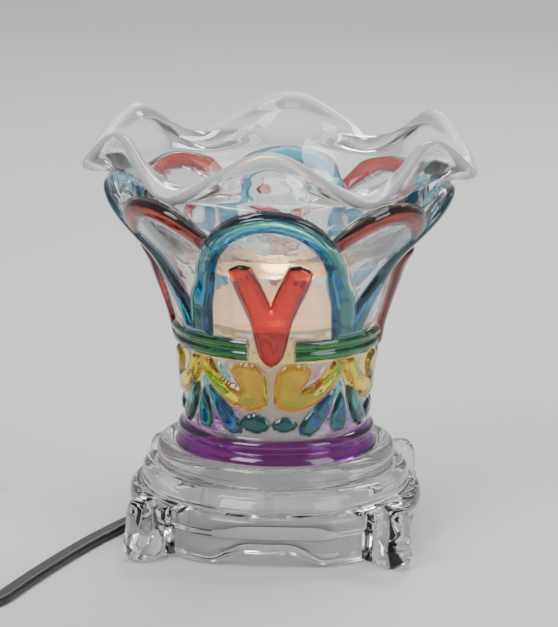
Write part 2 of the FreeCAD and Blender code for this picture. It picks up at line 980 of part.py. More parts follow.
# Rings of the flare: trough radius, trough height, peak radius, peak height, each as a share of the
# way from the seat on the shade's rim to the lip.
UNDER_RING_SHARES = (
    (0.24, 0.06, 0.21, 0.145),
    (0.66, 0.08, 0.53, 0.58),
    (0.95, 0.18, 0.91, 0.80),
    (1.0, 0.52, 1.0, 0.885),
)
UPPER_RING_SHARES = (
    (0.87, 1.0, 0.83, 1.0),
    (0.66, 1.08, 0.62, 0.94),
    (0.38, 1.05, 0.34, 0.68),
    (0.013, 0.77, -0.075, 0.31),
)
# Rings of the bowl below the flare: share of the way out from foot to neck and up from floor to neck.
OUTER_BOWL_SHARES = ((0.49, 0.14), (0.78, 0.46), (0.935, 0.75))
INNER_BOWL_SHARES = ((0.85, 0.64), (0.54, 0.27), (0.13, 0.06))


def glass_dish():
    wall = float(size.dish_wall)
    neck = float(size.dish_neck_radius)
    seat = float(size.shade_top + size.dish_seat_gap)
    low = float(size.dish_bottom)
    foot = float(size.dish_foot_radius)
    trough_out = float(size.dish_trough_radius)
    trough_top = float(size.dish_trough_top)
    peak_out = float(size.dish_peak_radius)
    peak_top = float(size.dish_peak_top)
    neck_height = seat - wall / 6
    throat = neck - wall * 1.15
    throat_height = seat - wall / 2
    floor = low + wall
    floor_radius = foot - wall / 3

    def ruffled(shares):
        trough_radius, trough_height, peak_radius, peak_height = shares
        return ruffle_ring(
            (neck + (trough_out - neck) * trough_radius, seat + (trough_top - seat) * trough_height),
            (neck + (peak_out - neck) * peak_radius, seat + (peak_top - seat) * peak_height),
        )

    rings = [level_ring(foot, low)]
    for out, up in OUTER_BOWL_SHARES:
        rings.append(level_ring(foot + (neck - foot) * out, low + (neck_height - low) * up))
    rings.append(level_ring(neck, neck_height))
    rings += [ruffled(shares) for shares in UNDER_RING_SHARES + UPPER_RING_SHARES]
    rings.append(level_ring(throat, throat_height))
    for out, up in INNER_BOWL_SHARES:
        rings.append(
            level_ring(
                floor_radius + (throat - floor_radius) * out,
                floor + (throat_height - floor) * up,
            )
        )
    rings.append(level_ring(floor_radius, floor))
    return as_feature("glass_dish", solid_of(facet_skin(rings, 72, False)))


# How far round the coil's first turn its tie sits.
TIE_TURN_SHARE = 0.19

# A route is straight runs joined by tangent arcs, each as large as its two runs allow.
ARC_SHARE = 0.45


def route_path(points, name):
    """The path through a route's points, and its length."""
    edges = []
    radii = []
    here = points[0]
    for before, corner, after in zip(points, points[1:], points[2:]):
        back = (before - corner).normalize()
        ahead = (after - corner).normalize()
        half_turn = (math.pi - back.getAngle(ahead)) / 2
        shorter = min((before - corner).Length, (after - corner).Length)
        reach = ARC_SHARE * shorter
        radius = reach / math.tan(half_turn)
        inward = (back + ahead).normalize()
        middle = corner + inward * (radius / math.cos(half_turn) - radius)
        start = corner + back * reach
        end = corner + ahead * reach
        edges.append(Part.LineSegment(here, start).toShape())
        edges.append(Part.Arc(start, middle, end).toShape())
        radii.append(radius)
        here = end
    edges.append(Part.LineSegment(here, points[-1]).toShape())
    path = Part.Wire(edges)
    print(name, "length", round(path.Length, 1), "arc radii", [round(r, 1) for r in radii])
    return path


def lead_section(start, ahead):
    """The flat twin lead's outline, six-sided, square to the way it goes and lying level."""
    side = ahead.cross(FreeCAD.Vector(0, 0, 1)).normalize()
    up = side.cross(ahead).normalize()
    half_width = float(size.lead_width) / 2
    half_thickness = float(size.lead_thickness) / 2
    flat = half_width - float(size.lead_edge)
    corners = [
        (half_width, 0),
        (flat, half_thickness),
        (-flat, half_thickness),
        (-half_width, 0),
        (-flat, -half_thickness),
        (flat, -half_thickness),
    ]
    spots = [start + side * x + up * y for x, y in corners]
    return Part.makePolygon(spots + spots[:1])


def section_area():
    return float(size.lead_thickness) * float(size.lead_width - size.lead_edge)


def lead_tube(name, path):
    """The lead along a path, as one solid."""
    first = path.OrderedEdges[0]
    ahead = first.tangentAt(first.FirstParameter)
    shell = Part.BRepOffsetAPI.MakePipeShell(path)
    shell.add(lead_section(path.OrderedVertexes[0].Point, ahead))
    shell.build()
    shell.makeSolid()
    solid = shell.shape()
    expected = section_area() * path.Length
    print(name, "volume over section times length", round(solid.Volume / expected, 4))
    return as_feature(name, solid)


# Route points of the free lead, chosen by hand, from the base to the dimmer.
FRONT_ROUTE = (
    (-26.0, 0.0, 6.2),
    (-33.5, 0.1, 5.8),
    (-40.7, -1.9, 3.8),
    (-46.9, -6.0, 2.1),
    (-51.3, -12.4, 1.4),
    (-57.4, -26.2, 1.4),
    (-66.0, -49.4, 1.4),
    (-73.7, -73.0, 1.4),
    (-77.6, -86.6, 1.4),
    (-84.4, -92.6, 1.5),
    (-92.4, -97.2, 2.2),
    (-101.4, -98.9, 4.0),
    (-110.4, -98.6, 4.2),
)
# From the dimmer round to the coil.
BACK_ROUTE = (
    (-156.4, -98.6, 4.2),
    (-165.6, -98.9, 4.0),
    (-174.4, -96.1, 3.0),
    (-181.6, -90.5, 2.6),
    (-186.6, -83.0, 2.6),
    (-189.2, -74.4, 2.6),
    (-189.8, -65.4, 2.6),
    (-190.0, -54.2, 2.6),
    (-190.0, -43.0, 2.6),
)
# From the coil to the plug.
END_ROUTE = (
    (-189.3, -43.0, 6.3),
    (-189.3, -31.0, 6.3),
    (-189.7, -18.8, 5.8),
    (-189.0, -7.0, 2.8),
    (-184.8, 4.0, 1.4),
    (-177.0, 12.8, 1.4),
    (-166.4, 18.0, 2.6),
    (-155.0, 19.6, 6.0),
    (-144.0, 19.6, 6.5),
)


def as_points(route):
    return [FreeCAD.Vector(*point) for point in route]


def biarc(start, start_way, end, end_way):
    """Two arcs that leave and arrive along given directions and meet smoothly."""
    gap = end - start
    both = start_way + end_way
    a = both.dot(both) - 4
    b = -2 * gap.dot(both)
    c = gap.dot(gap)
    reach = (-b - math.sqrt(b * b - 4 * a * c)) / (2 * a)
    near = start + start_way * reach
    far = end - end_way * reach
    joint = (near + far) / 2
    return [
        arc_through(start, near, joint),
        arc_through(joint, far, end),
    ]


def arc_through(start, corner, end):
    """The arc from start to end that is tangent to the two legs of its corner."""
    back = (start - corner).normalize()
    ahead = (end - corner).normalize()
    half_turn = (math.pi - back.getAngle(ahead)) / 2
    radius = (start - corner).Length / math.tan(half_turn)
    inward = (back + ahead).normalize()
    middle = corner + inward * (radius / math.cos(half_turn) - radius)
    return Part.Arc(start, middle, end).toShape()


def eased(share):
    """A share from nought to one that starts and ends gently."""
    held = min(max(share, 0.0), 1.0)
    return held * held * (3 - 2 * held)


def coil_point(turned_by):
    """A point of the coil's middle line, after so many turns from its start.

    The line winds inward in the lower layer, climbs to the upper one in the last half turn of the
    way in, steps aside to clear the climb, and winds outward again.
    """
    turns_in = float(size.coil_turns_in) + 0.5
    pitch = float(size.coil_pitch)
    outer = float(size.coil_turn_radius)
    climb = eased((turned_by - turns_in + 0.5) * 2)
    outward = max(turned_by - turns_in, 0.0)
    aside = float(size.coil_side_step) * eased(outward / 0.75)
    radius = outer - pitch * min(turned_by, turns_in) + pitch * outward + aside
    angle = math.pi - 2 * math.pi * turned_by
    start = FreeCAD.Vector(*BACK_ROUTE[-1])
    return FreeCAD.Vector(
        start.x + outer + radius * math.cos(angle),
        start.y + radius * math.sin(angle),
        float(size.coil_height) + float(size.coil_layer_pitch) * climb,
    )


def coil_way(turned_by):
    """The coil's direction there, from a small step each way."""
    step = 0.01
    return (coil_point(turned_by + step) - coil_point(turned_by - step)).normalize()


def cord_coil():
    total = float(size.coil_turns_in) + 0.5 + float(size.coil_turns_out)
    quarters = int(round(total * 4))
    edges = []
    for k in range(quarters):
        first, last = k / 4, (k + 1) / 4
        start_way = FreeCAD.Vector(0, 1, 0) if k == 0 else coil_way(first)
        end_way = FreeCAD.Vector(0, 1, 0) if k == quarters - 1 else coil_way(last)
        edges += biarc(coil_point(first), start_way, coil_point(last), end_way)
    path = Part.Wire(edges)
    print("coil length", round(path.Length, 1), "least gap", round(least_gap(path), 2))
    return lead_tube("cord_coil", path)


def least_gap(path):
    """The least gap between the coil's turns, measured on points of its middle line."""
    width = float(size.lead_width)
    thickness = float(size.lead_thickness)
    count = int(path.Length / thickness)
    spots = path.discretize(Number=count)
    apart = int(math.pi * float(size.coil_turn_radius) / 2 / thickness)
    least = math.inf
    for i, spot in enumerate(spots):
        for other in spots[i + apart :]:
            across = math.hypot(spot.x - other.x, spot.y - other.y)
            if across > 2 * width:
                continue
            above = abs(spot.z - other.z)
            least = min(least, max(across - width, above - thickness))
    return least


def cord_tie():
    """A flat strap round both layers of the coil, with its long sides up and down."""
    body = new_body("cord_tie_body")
    start = FreeCAD.Vector(*BACK_ROUTE[-1])
    cover = size.lead_width / 2 + size.tie_play
    outside = size.coil_turn_radius - size.coil_pitch * TIE_TURN_SHARE + cover
    inside = (
        size.coil_turn_radius - size.coil_pitch * (size.coil_turns_in + TIE_TURN_SHARE) - cover
    )
    top = (
        size.coil_height
        + size.coil_layer_pitch
        + size.lead_thickness / 2
        + size.tie_play
    )
    sketch = new_sketch(body, "XZ_Plane", "strap_side", -size.tie_width / 2)
    outline(
        sketch,
        rectangle(
            inside - size.tie_thickness, ZERO, outside + size.tie_thickness, top + size.tie_thickness
        ),
    )
    outline(
        sketch,
        rectangle(inside, size.tie_thickness, outside, top),
    )
    strap = body.newObject("PartDesign::Pad", "strap")
    strap.Profile = sketch
    strap.Length = float(size.tie_width)
    bind(strap, "Length", size.tie_width)
    document.recompute()
    body.Placement = FreeCAD.Placement(
        start + FreeCAD.Vector(float(size.coil_turn_radius), 0, -start.z),
        FreeCAD.Rotation(FreeCAD.Vector(0, 0, 1), 180 - 360 * TIE_TURN_SHARE),
    )
    return keep("cord_tie", body)


def cord_bushing():
    """A tapered strain relief that stands out of the cap's side round the lead."""
    body = new_body("cord_bushing_body")
    inner_end = size.bushing_mouth - size.bushing_length
    collar_end = size.cap_radius + size.bushing_collar_length
    root = size.bushing_radius - size.screw_play
    axis_height = size.lead_exit_height
    sketch = new_sketch(body, "XZ_Plane", "bushing_profile")
    outline(
        sketch,
        [
            (-size.bushing_mouth, axis_height),
            (-inner_end, axis_height),
            (-inner_end, axis_height + root),
            (-size.cap_radius, axis_height + root),
            (-size.cap_radius, axis_height + size.bushing_collar_radius),
            (-collar_end, axis_height + size.bushing_collar_radius),
            (-collar_end, axis_height + root),
            (-size.bushing_mouth, axis_height + size.bushing_mouth_radius),
        ],
    )
    axis = sketch.addGeometry(
        Part.LineSegment(
            FreeCAD.Vector(0, float(axis_height), 0),
            FreeCAD.Vector(-float(inner_end), float(axis_height), 0),
        ),
        True,
    )
    fix_point(sketch, axis, 1, ZERO, axis_height)
    fix_point(sketch, axis, 2, -inner_end, axis_height)
    feature = body.newObject("PartDesign::Revolution", "tapered_relief")
    feature.Profile = sketch
    feature.ReferenceAxis = (sketch, ["Axis0"])
    feature.Angle = 360
    document.recompute()
    return keep("cord_bushing", body)


# The in-line dimmer: two shells split level with the lead, a board with the speed control's body,
# and a thumb wheel that stands out of one side.
def dimmer_outline(sketch, inset):
    half_length = size.dimmer_length / 2 - inset
    half_width = size.dimmer_width / 2 - inset
    outline(
        sketch,
        rectangle(
            -half_length, -half_width, half_length, half_width, size.dimmer_end_rounding - inset
        ),
    )


def dimmer_place(item):
    inlet = FRONT_ROUTE[-1]
    item.Placement = FreeCAD.Placement(
        FreeCAD.Vector(inlet[0] - float(size.dimmer_length) / 2, inlet[1], 0),
        FreeCAD.Rotation(),
    )


def in_line_dimmer():
    lower = new_body("dimmer_lower_shell_body")
    padded(lower, "lower_block", ZERO, size.dimmer_split, lambda s: dimmer_outline(s, ZERO))
    document.recompute()
    padded(
        lower,
        "lower_hollow",
        size.dimmer_wall,
        size.dimmer_split,
        lambda s: dimmer_outline(s, size.dimmer_wall),
        cut=True,
    )
    document.recompute()
    dimmer_place(keep("dimmer_lower_shell", lower))
    upper = new_body("dimmer_upper_shell_body")
    height = size.dimmer_top - size.dimmer_split
    padded(upper, "upper_block", size.dimmer_split, height, lambda s: dimmer_outline(s, ZERO))
    document.recompute()
    padded(
        upper,
        "upper_hollow",
        size.dimmer_split - size.overrun,
        height - size.dimmer_wall + size.overrun,
        lambda s: dimmer_outline(s, size.dimmer_wall),
        cut=True,
    )
    document.recompute()
    padded(
        upper,
        "wheel_slot",
        size.wheel_bottom - size.wheel_play,
        size.wheel_height + size.wheel_play * 2,
        lambda s: circle(s, ZERO, -size.wheel_offset, size.wheel_radius + size.wheel_play),
        cut=True,
    )
    document.recompute()
    dimmer_place(keep("dimmer_upper_shell", upper))
    wheel = new_body("dimmer_wheel_body")
    padded(
        wheel,
        "wheel_disc",
        size.wheel_bottom,
        size.wheel_height,
        lambda s: circle(s, ZERO, ZERO, size.wheel_radius),
    )
    document.recompute()
    notch = padded(
        wheel,
        "grip_notch",
        size.wheel_bottom - size.overrun,
        size.wheel_height + size.overrun * 2,
        lambda s: outline(
            s,
            [
                (size.wheel_radius - size.wheel_notch_depth, ZERO),
                (size.wheel_radius + size.overrun, -size.wheel_notch_depth),
                (size.wheel_radius + size.overrun, size.wheel_notch_depth),
            ],
        ),
        cut=True,
    )
    document.recompute()
    around(wheel, "grip_notches", notch, 12)
    document.recompute()
    padded(
        wheel,
        "shaft_hole",
        size.wheel_bottom - size.overrun,
        size.wheel_height + size.overrun * 2,
        lambda s: circle(s, ZERO, ZERO, size.shaft_radius + size.shaft_play),
        cut=True,
    )
    document.recompute()
    keep("dimmer_wheel", wheel)
    inlet = FRONT_ROUTE[-1]
    wheel.Placement = FreeCAD.Placement(
        FreeCAD.Vector(
            inlet[0] - float(size.dimmer_length) / 2, inlet[1] - float(size.wheel_offset), 0
        ),
        FreeCAD.Rotation(),
    )
    board = new_body("dimmer_control_body")
    half = size.control_body_size / 2
    padded(
        board,
        "control_block",
        size.dimmer_wall,
        size.wheel_bottom - size.wheel_play - size.dimmer_wall,
        lambda s: outline(
            s, rectangle(-half, -size.wheel_offset - half, half, half - size.wheel_offset)
        ),
    )
    document.recompute()
    padded(
        board,
        "control_shaft",
        size.dimmer_wall,
        size.wheel_bottom + size.wheel_height - size.dimmer_wall,
        lambda s: circle(s, ZERO, -size.wheel_offset, size.shaft_radius),
    )
    document.recompute()
    dimmer_place(keep("dimmer_control", board))


# The plug: a rounded grip that narrows to the lead, and two flat blades, one of them wider.
def plug():
    body = new_body("plug_body_body")
    half = size.plug_width / 2
    nose = size.plug_nose_width / 2
    padded(
        body,
        "grip",
        ZERO,
        size.plug_thickness,
        lambda s: outline(
            s,
            [
                (ZERO, -nose),
                (size.plug_nose_length, -half, size.plug_rounding),
                (size.plug_length, -half, size.plug_rounding),
                (size.plug_length, half, size.plug_rounding),
                (size.plug_nose_length, half, size.plug_rounding),
                (ZERO, nose),
            ],
        ),
    )
    document.recompute()
    inlet = END_ROUTE[-1]
    place = FreeCAD.Placement(
        FreeCAD.Vector(inlet[0], inlet[1], inlet[2] - float(size.plug_thickness) / 2),
        FreeCAD.Rotation(),
    )
    keep("plug_body", body).Placement = place
    blades = new_body("plug_blades_body")
    for side, height in ((-1, size.blade_height), (1, size.wide_blade_height)):
        tag = "narrow" if side < 0 else "wide"
        sketch = new_sketch(
            blades,
            "XZ_Plane",
            f"{tag}_blade_side",
            size.blade_spacing / 2 * -side - size.blade_thickness / 2,
        )
        middle = size.plug_thickness / 2
        outline(
            sketch,
            rectangle(
                size.plug_length,
                middle - height / 2,
                size.plug_length + size.blade_length,
                middle + height / 2,
            ),
        )
        circle(
            sketch,
            size.plug_length + size.blade_length * 0.75,
            middle,
            size.blade_hole_radius,
        )
        blade = blades.newObject("PartDesign::Pad", f"{tag}_blade")
        blade.Profile = sketch
        blade.Length = float(size.blade_thickness)
        bind(blade, "Length", size.blade_thickness)
        document.recompute()
    keep("plug_blades", blades).Placement = place


glass_base()
housing_cup()
clamp_ring()
bottom_cap()
cap_screws()
lamp_holder()
holder_contacts()
lamp()
glass_shade()
glass_dish()
cord_bushing()
lead_tube("cord_lead", route_path(as_points(FRONT_ROUTE), "front route"))
lead_tube("cord_tail", route_path(as_points(BACK_ROUTE), "back route"))
cord_coil()
lead_tube("cord_end", route_path(as_points(END_ROUTE), "end route"))
cord_tie()
in_line_dimmer()
plug()
document.recompute()

faults = [
    f"{item.Name} {item.State}"
    for item in document.Objects
    if "Invalid" in item.State or "Error" in item.State
]
for name, item in parts.items():
    if item.Shape.isNull() or not item.Shape.isValid() or not item.Shape.Solids:
        faults.append(f"{name} has no valid solid")
if faults:
    raise SystemExit("\n".join(faults))
os.makedirs("parts", exist_ok=True)
for name, item in parts.items():
    item.Shape.exportStep(f"parts/{name}.step")
print(len(parts), "pieces written")
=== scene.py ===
# %% [markdown]
# Wax melt warmer, dressed for the camera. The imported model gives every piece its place. The three
# glass pieces are skinned again as dense surfaces, each a formula of a turn about the upright axis
# and a way along its outline, so that ruffles, arches and tiers come out round.

# %% Load the frame
import json
import math

import bmesh
import bpy
import numpy as np
from mathutils import Matrix

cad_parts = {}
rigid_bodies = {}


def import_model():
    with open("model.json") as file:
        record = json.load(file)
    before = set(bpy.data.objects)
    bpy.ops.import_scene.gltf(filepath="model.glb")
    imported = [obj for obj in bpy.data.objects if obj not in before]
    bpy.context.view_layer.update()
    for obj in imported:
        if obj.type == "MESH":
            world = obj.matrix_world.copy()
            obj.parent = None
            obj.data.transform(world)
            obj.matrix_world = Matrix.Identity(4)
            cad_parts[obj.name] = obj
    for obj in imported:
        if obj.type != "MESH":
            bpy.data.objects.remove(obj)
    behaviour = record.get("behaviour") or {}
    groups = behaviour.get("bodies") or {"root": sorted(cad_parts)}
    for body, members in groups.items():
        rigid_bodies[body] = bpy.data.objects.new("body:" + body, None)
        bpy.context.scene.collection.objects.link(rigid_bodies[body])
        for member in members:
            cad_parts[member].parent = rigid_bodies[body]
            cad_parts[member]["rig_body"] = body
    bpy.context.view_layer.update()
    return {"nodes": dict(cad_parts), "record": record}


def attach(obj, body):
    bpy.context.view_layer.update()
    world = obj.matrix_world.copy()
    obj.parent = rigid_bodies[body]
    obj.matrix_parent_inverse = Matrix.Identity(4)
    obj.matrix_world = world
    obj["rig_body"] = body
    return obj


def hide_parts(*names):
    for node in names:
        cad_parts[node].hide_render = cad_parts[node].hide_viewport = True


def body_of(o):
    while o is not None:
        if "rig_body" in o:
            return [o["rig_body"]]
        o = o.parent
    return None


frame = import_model()
nodes = frame["nodes"]
MM = 0.001
print("nodes", len(nodes))


# %% [markdown]
# Small helpers for surfaces. A grid of points closes round the axis, and may close along the
# outline too, so every glass piece is one watertight skin. Outlines are smooth lines through a few
# chosen places, each a radius and a height in millimetres.

# %% Surface helpers
def smooth_line(places, count):
    """Points evenly spread along a curve through the places: cubics that share their slopes."""
    spots = np.array(places, float)
    steps = np.hypot(*np.diff(spots, axis=0).T)
    along = np.concatenate([[0.0], np.cumsum(steps)])
    slopes = np.gradient(spots, along, axis=0)
    want = np.linspace(0, along[-1], count)
    k = np.clip(np.searchsorted(along, want, side="right") - 1, 0, len(steps) - 1)
    h = steps[k][:, None]
    t = ((want - along[k]) / steps[k])[:, None]
    return (
        (2 * t**3 - 3 * t**2 + 1) * spots[k]
        + (t**3 - 2 * t**2 + t) * h * slopes[k]
        + (3 * t**2 - 2 * t**3) * spots[k + 1]
        + (t**3 - t**2) * h * slopes[k + 1]
    )


def edge(low, high, value):
    """Nought below low, one above high, and a gentle rise between."""
    t = np.clip((value - low) / (high - low), 0, 1)
    return t * t * (3 - 2 * t)


def skin(name, radius, turn, height, colour=None, closed=True):
    """A mesh from grids in millimetres, whose rows run round the upright axis.

    Each point stands at the radius times the sine of the turn, at minus the radius times its
    cosine, and at the height, so a turn of nought faces the front.
    """
    rows, columns = radius.shape
    spots = np.stack([radius * np.sin(turn), -radius * np.cos(turn), height], -1) * MM
    mesh = bpy.data.meshes.new(name)
    index = np.arange(rows * columns).reshape(rows, columns)
    nxt = np.roll(index, -1, axis=1)
    up = np.roll(index, -1, axis=0)
    up_next = np.roll(nxt, -1, axis=0)
    quads = np.stack([index, nxt, up_next, up], -1)
    if not closed:
        quads = quads[:-1]
    faces = quads.reshape(-1, 4).tolist()
    if not closed:
        faces += [index[0][::-1].tolist(), index[-1].tolist()]
    mesh.from_pydata(spots.reshape(-1, 3).tolist(), [], faces)
    mesh.polygons.foreach_set("use_smooth", np.ones(len(faces), bool))
    if colour is not None:
        paint = mesh.attributes.new("paint", "FLOAT_COLOR", "POINT")
        paint.data.foreach_set("color", colour.reshape(-1, 4).astype(np.float32).ravel())
    mesh.update()
    outward(mesh)
    piece = bpy.data.objects.new(name, mesh)
    bpy.context.collection.objects.link(piece)
    return piece


def outward(mesh):
    """Turns every face of a closed mesh to the outside."""
    work = bmesh.new()
    work.from_mesh(mesh)
    bmesh.ops.recalc_face_normals(work, faces=work.faces)
    if work.calc_volume(signed=True) < 0:
        bmesh.ops.reverse_faces(work, faces=work.faces)
    work.to_mesh(mesh)
    work.free()


print("half of a gentle rise", edge(0.0, 1.0, 0.5))

# %% [markdown]
# Shader sums are written as plain expressions: a wrapped socket adds, multiplies and so on by
# making the math node that does it. Other nodes come from one method.

# %% Shader helpers
class Sums:
    """A shader socket that takes part in ordinary arithmetic."""

    def __init__(self, tree, socket):
        self.tree = tree
        self.socket = socket

    def _math(self, operation, *terms):
        """The socket of a math node that has these terms as its inputs."""
        node = self.tree.nodes.new("ShaderNodeMath")
        node.operation = operation
        for slot, term in zip(node.inputs, terms):
            if isinstance(term, Sums):
                self.tree.links.new(term.socket, slot)
            else:
                slot.default_value = term
        return Sums(self.tree, node.outputs[0])

    def __add__(self, other):
        return self._math("ADD", self, other)

    def __sub__(self, other):
        return self._math("SUBTRACT", self, other)

    def __mul__(self, other):
        return self._math("MULTIPLY", self, other)


class Finish:
    """One material: its tree, its surface shader and its object coordinates."""

    def __init__(self, name, **values):
        self.material = bpy.data.materials.new(name)
        self.material.use_nodes = True
        self.tree = self.material.node_tree
        self.surface = self.tree.nodes["Principled BSDF"]
        self.place = self.tree.nodes.new("ShaderNodeTexCoord").outputs["Object"]
        for key, value in values.items():
            self.surface.inputs[key.replace("_", " ")].default_value = value

    def node(self, kind, settings=None, **inputs):
        """A shader node with its settings, its inputs given as sockets, sums or plain values."""
        node = self.tree.nodes.new(kind)
        for key, value in (settings or {}).items():
            setattr(node, key, value)
        for key, value in inputs.items():
            slot = node.inputs[key.replace("_", " ")]
            if isinstance(value, Sums):
                self.tree.links.new(value.socket, slot)
            elif isinstance(value, bpy.types.NodeSocket):
                self.tree.links.new(value, slot)
            else:
                slot.default_value = value
        return node

    def noise(self, scale, detail=2.0):
        """Cloudy noise from nought to one, this many times finer than a metre."""
        made = self.node("ShaderNodeTexNoise", Vector=self.place, Scale=scale, Detail=detail)
        return Sums(self.tree, made.outputs["Fac"])

    def rough(self, middle, spread, scale):
        """Lets the roughness wander about its middle value."""
        value = (self.noise(scale) - 0.5) * spread + middle
        self.tree.links.new(value.socket, self.surface.inputs["Roughness"])

    def bump(self, height, distance, strength):
        """Tilts the surface by a height that is drawn in the shader."""
        made = self.node("ShaderNodeBump", Height=height, Distance=distance, Strength=strength)
        self.tree.links.new(made.outputs["Normal"], self.surface.inputs["Normal"])


def dress(piece, finish):
    """Gives a piece one material in place of what it has."""
    piece.data.materials.clear()
    piece.data.materials.append(finish.material)


# %% [markdown]
# Glass is clear and polished, with faint waves from the mould. The shade's glass takes its stain
# and its painted highlights from the paint carried on its own points.

# %% Glass
GLASS_IOR = 1.5
POLISHED_TINT, MOULD_WAVES = (0.97, 0.985, 0.98), 60.0
WAVE_HEIGHT, WAVE_STRENGTH = 0.0006, 0.35


def clear_glass(name, tint, waves):
    """Polished glass of one tint, with faint waves."""
    glass = Finish(
        name, Base_Color=(*tint, 1), Transmission_Weight=1.0, Roughness=0.0, IOR=GLASS_IOR
    )
    glass.bump(glass.noise(waves), WAVE_HEIGHT, WAVE_STRENGTH)
    return glass


def stained_highlit_glass():
    """Glass whose colour is the paint on its points: stains with painted highlights."""
    glass = Finish("stained_highlit_glass", Transmission_Weight=0.97, IOR=GLASS_IOR, Coat_Weight=0.3)
    paint = glass.node("ShaderNodeAttribute", {"attribute_name": "paint"})
    glass.tree.links.new(paint.outputs["Color"], glass.surface.inputs["Base Color"])
    glass.rough(0.03, 0.04, 160.0)
    glass.bump(glass.noise(140.0), 0.0005, 0.4)
    return glass


finishes = {
    "clear_glass": clear_glass("clear_glass", POLISHED_TINT, MOULD_WAVES),
    "painted_glass": stained_highlit_glass(),
    "lamp_glass": clear_glass("lamp_glass", (0.99, 0.97, 0.93), 90.0),
}
print("glass", list(finishes))


# %% [markdown]
# The other pieces are closed surfaces of one colour. Each node of the model then gets the finish
# that its record names.

# %% Plain finishes
def plain(name, colour, rough, metal=0.0, grain=300.0):
    """A closed surface of one colour, with uneven gloss and a fine grain."""
    made = Finish(name, Base_Color=(*colour, 1), Metallic=metal)
    made.rough(rough, 0.12, grain)
    made.bump(made.noise(grain * 3, 4.0), 0.0001, 0.5)
    return made


finishes |= {
    "white_steel": plain("white_steel", (0.83, 0.82, 0.79), 0.35),
    "plated_steel": plain("plated_steel", (0.62, 0.62, 0.63), 0.3, 1.0),
    "ceramic": plain("ceramic", (0.82, 0.79, 0.72), 0.55),
    "brass": plain("brass", (0.78, 0.57, 0.25), 0.25, 1.0),
    "mirror_coat": plain("mirror_coat", (0.85, 0.82, 0.76), 0.12, 1.0),
    "black_pvc": plain("black_pvc", (0.012, 0.012, 0.012), 0.38),
    "black_plastic": plain("black_plastic", (0.016, 0.016, 0.017), 0.45, grain=900.0),
    "grey_plastic": plain("grey_plastic", (0.06, 0.06, 0.065), 0.4, grain=900.0),
    "tie_plastic": plain("tie_plastic", (0.03, 0.03, 0.03), 0.5),
}
for entry in frame["record"]["subparts"]:
    dress(nodes[entry["node"]], finishes[entry["material_slot"]])
print("finishes", len(finishes))


# %% [markdown]
# The dish swings between a trough and a peak six times round. Both outlines start and end on the
# same round bowl.

# %% Dish outlines
BOWL_UNDER = [
    (0.5, 88.0), (10, 88.0), (18, 88.05), (24, 88.7), (33, 91.6), (41, 99.6), (45.4, 107.8),
]
BOWL_INSIDE = [(39.6, 106.4), (32, 98.2), (22.5, 93.4), (14, 91.9), (6, 91.7), (0.5, 91.7)]
TROUGH = [
    (47.8, 115.3), (51.5, 116.2), (56.5, 116.1), (60.3, 116.4), (62.2, 117.5),
    (62.4, 118.9), (61.3, 120.2), (59.0, 120.9), (54.0, 120.9), (48.6, 119.3), (43.4, 114.0),
]
PEAK = [
    (47.6, 115.3), (49.8, 119.0), (52.0, 124.0), (54.3, 128.6), (56.3, 130.6),
    (57.0, 132.0), (56.0, 133.4), (54.2, 133.3), (51.6, 128.8), (47.4, 121.5), (43.4, 114.0),
]
print("dish rim from", max(up for _, up in TROUGH), "to", max(up for _, up in PEAK))

# %% [markdown]
# Each upright section of the dish is a mix of the two outlines, by a cosine of six times the turn.
# The lip is painted a little white: a painted sheen for the light caught in its thick glass.

# %% Ruffled dish
RUFFLES, RUFFLE_SWAY, RUFFLE_POWER = 6, 0.10, 0.9
LIP_FAR, LIP_NEAR, LIP_SHEEN = 6.5, 2.0, 0.42


def ruffled_dish():
    """The glass dish, its outline mixed from trough to peak by one plus the cosine, halved."""
    around, along = 480, 150
    turn = np.linspace(0, 2 * math.pi, around, endpoint=False)[None, :]
    trough = smooth_line(BOWL_UNDER + TROUGH + BOWL_INSIDE, along)
    peak = smooth_line(BOWL_UNDER + PEAK + BOWL_INSIDE, along)
    share = (1 + np.cos(RUFFLES * turn + RUFFLE_SWAY * np.sin(turn))) / 2
    share = share**RUFFLE_POWER
    radius = trough[:, :1] + (peak[:, :1] - trough[:, :1]) * share
    height = trough[:, 1:] + (peak[:, 1:] - trough[:, 1:]) * share
    # The paint marks the lip for its painted white sheen.
    sheen_share = edge(LIP_FAR, LIP_NEAR, np.hypot(radius - radius.max(0), height - height.max(0)))
    paint = np.stack([sheen_share, sheen_share, sheen_share, np.ones_like(sheen_share)], -1)
    return skin("ruffled_dish", radius, np.repeat(turn, along, 0), height, paint, closed=False)


def sheen_lipped_glass():
    """Clear glass with a painted white sheen where the paint on its points says so."""
    glass = clear_glass("sheen_lipped_glass", POLISHED_TINT, MOULD_WAVES)
    paint = glass.node("ShaderNodeAttribute", {"attribute_name": "paint"})
    sheen_mix = Sums(glass.tree, paint.outputs["Fac"]) * LIP_SHEEN
    sheen_white = glass.node("ShaderNodeBsdfDiffuse", Color=(0.9, 0.9, 0.9, 1))
    both = glass.node("ShaderNodeMixShader", Fac=sheen_mix)
    glass.tree.links.new(glass.surface.outputs[0], both.inputs[1])
    glass.tree.links.new(sheen_white.outputs[0], both.inputs[2])
    out = glass.tree.nodes["Material Output"]
    glass.tree.links.new(both.outputs[0], out.inputs["Surface"])
    return glass


dish = ruffled_dish()
dress(dish, sheen_lipped_glass())
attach(dish, "dish")
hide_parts("glass_dish")
print("dish", len(dish.data.polygons))
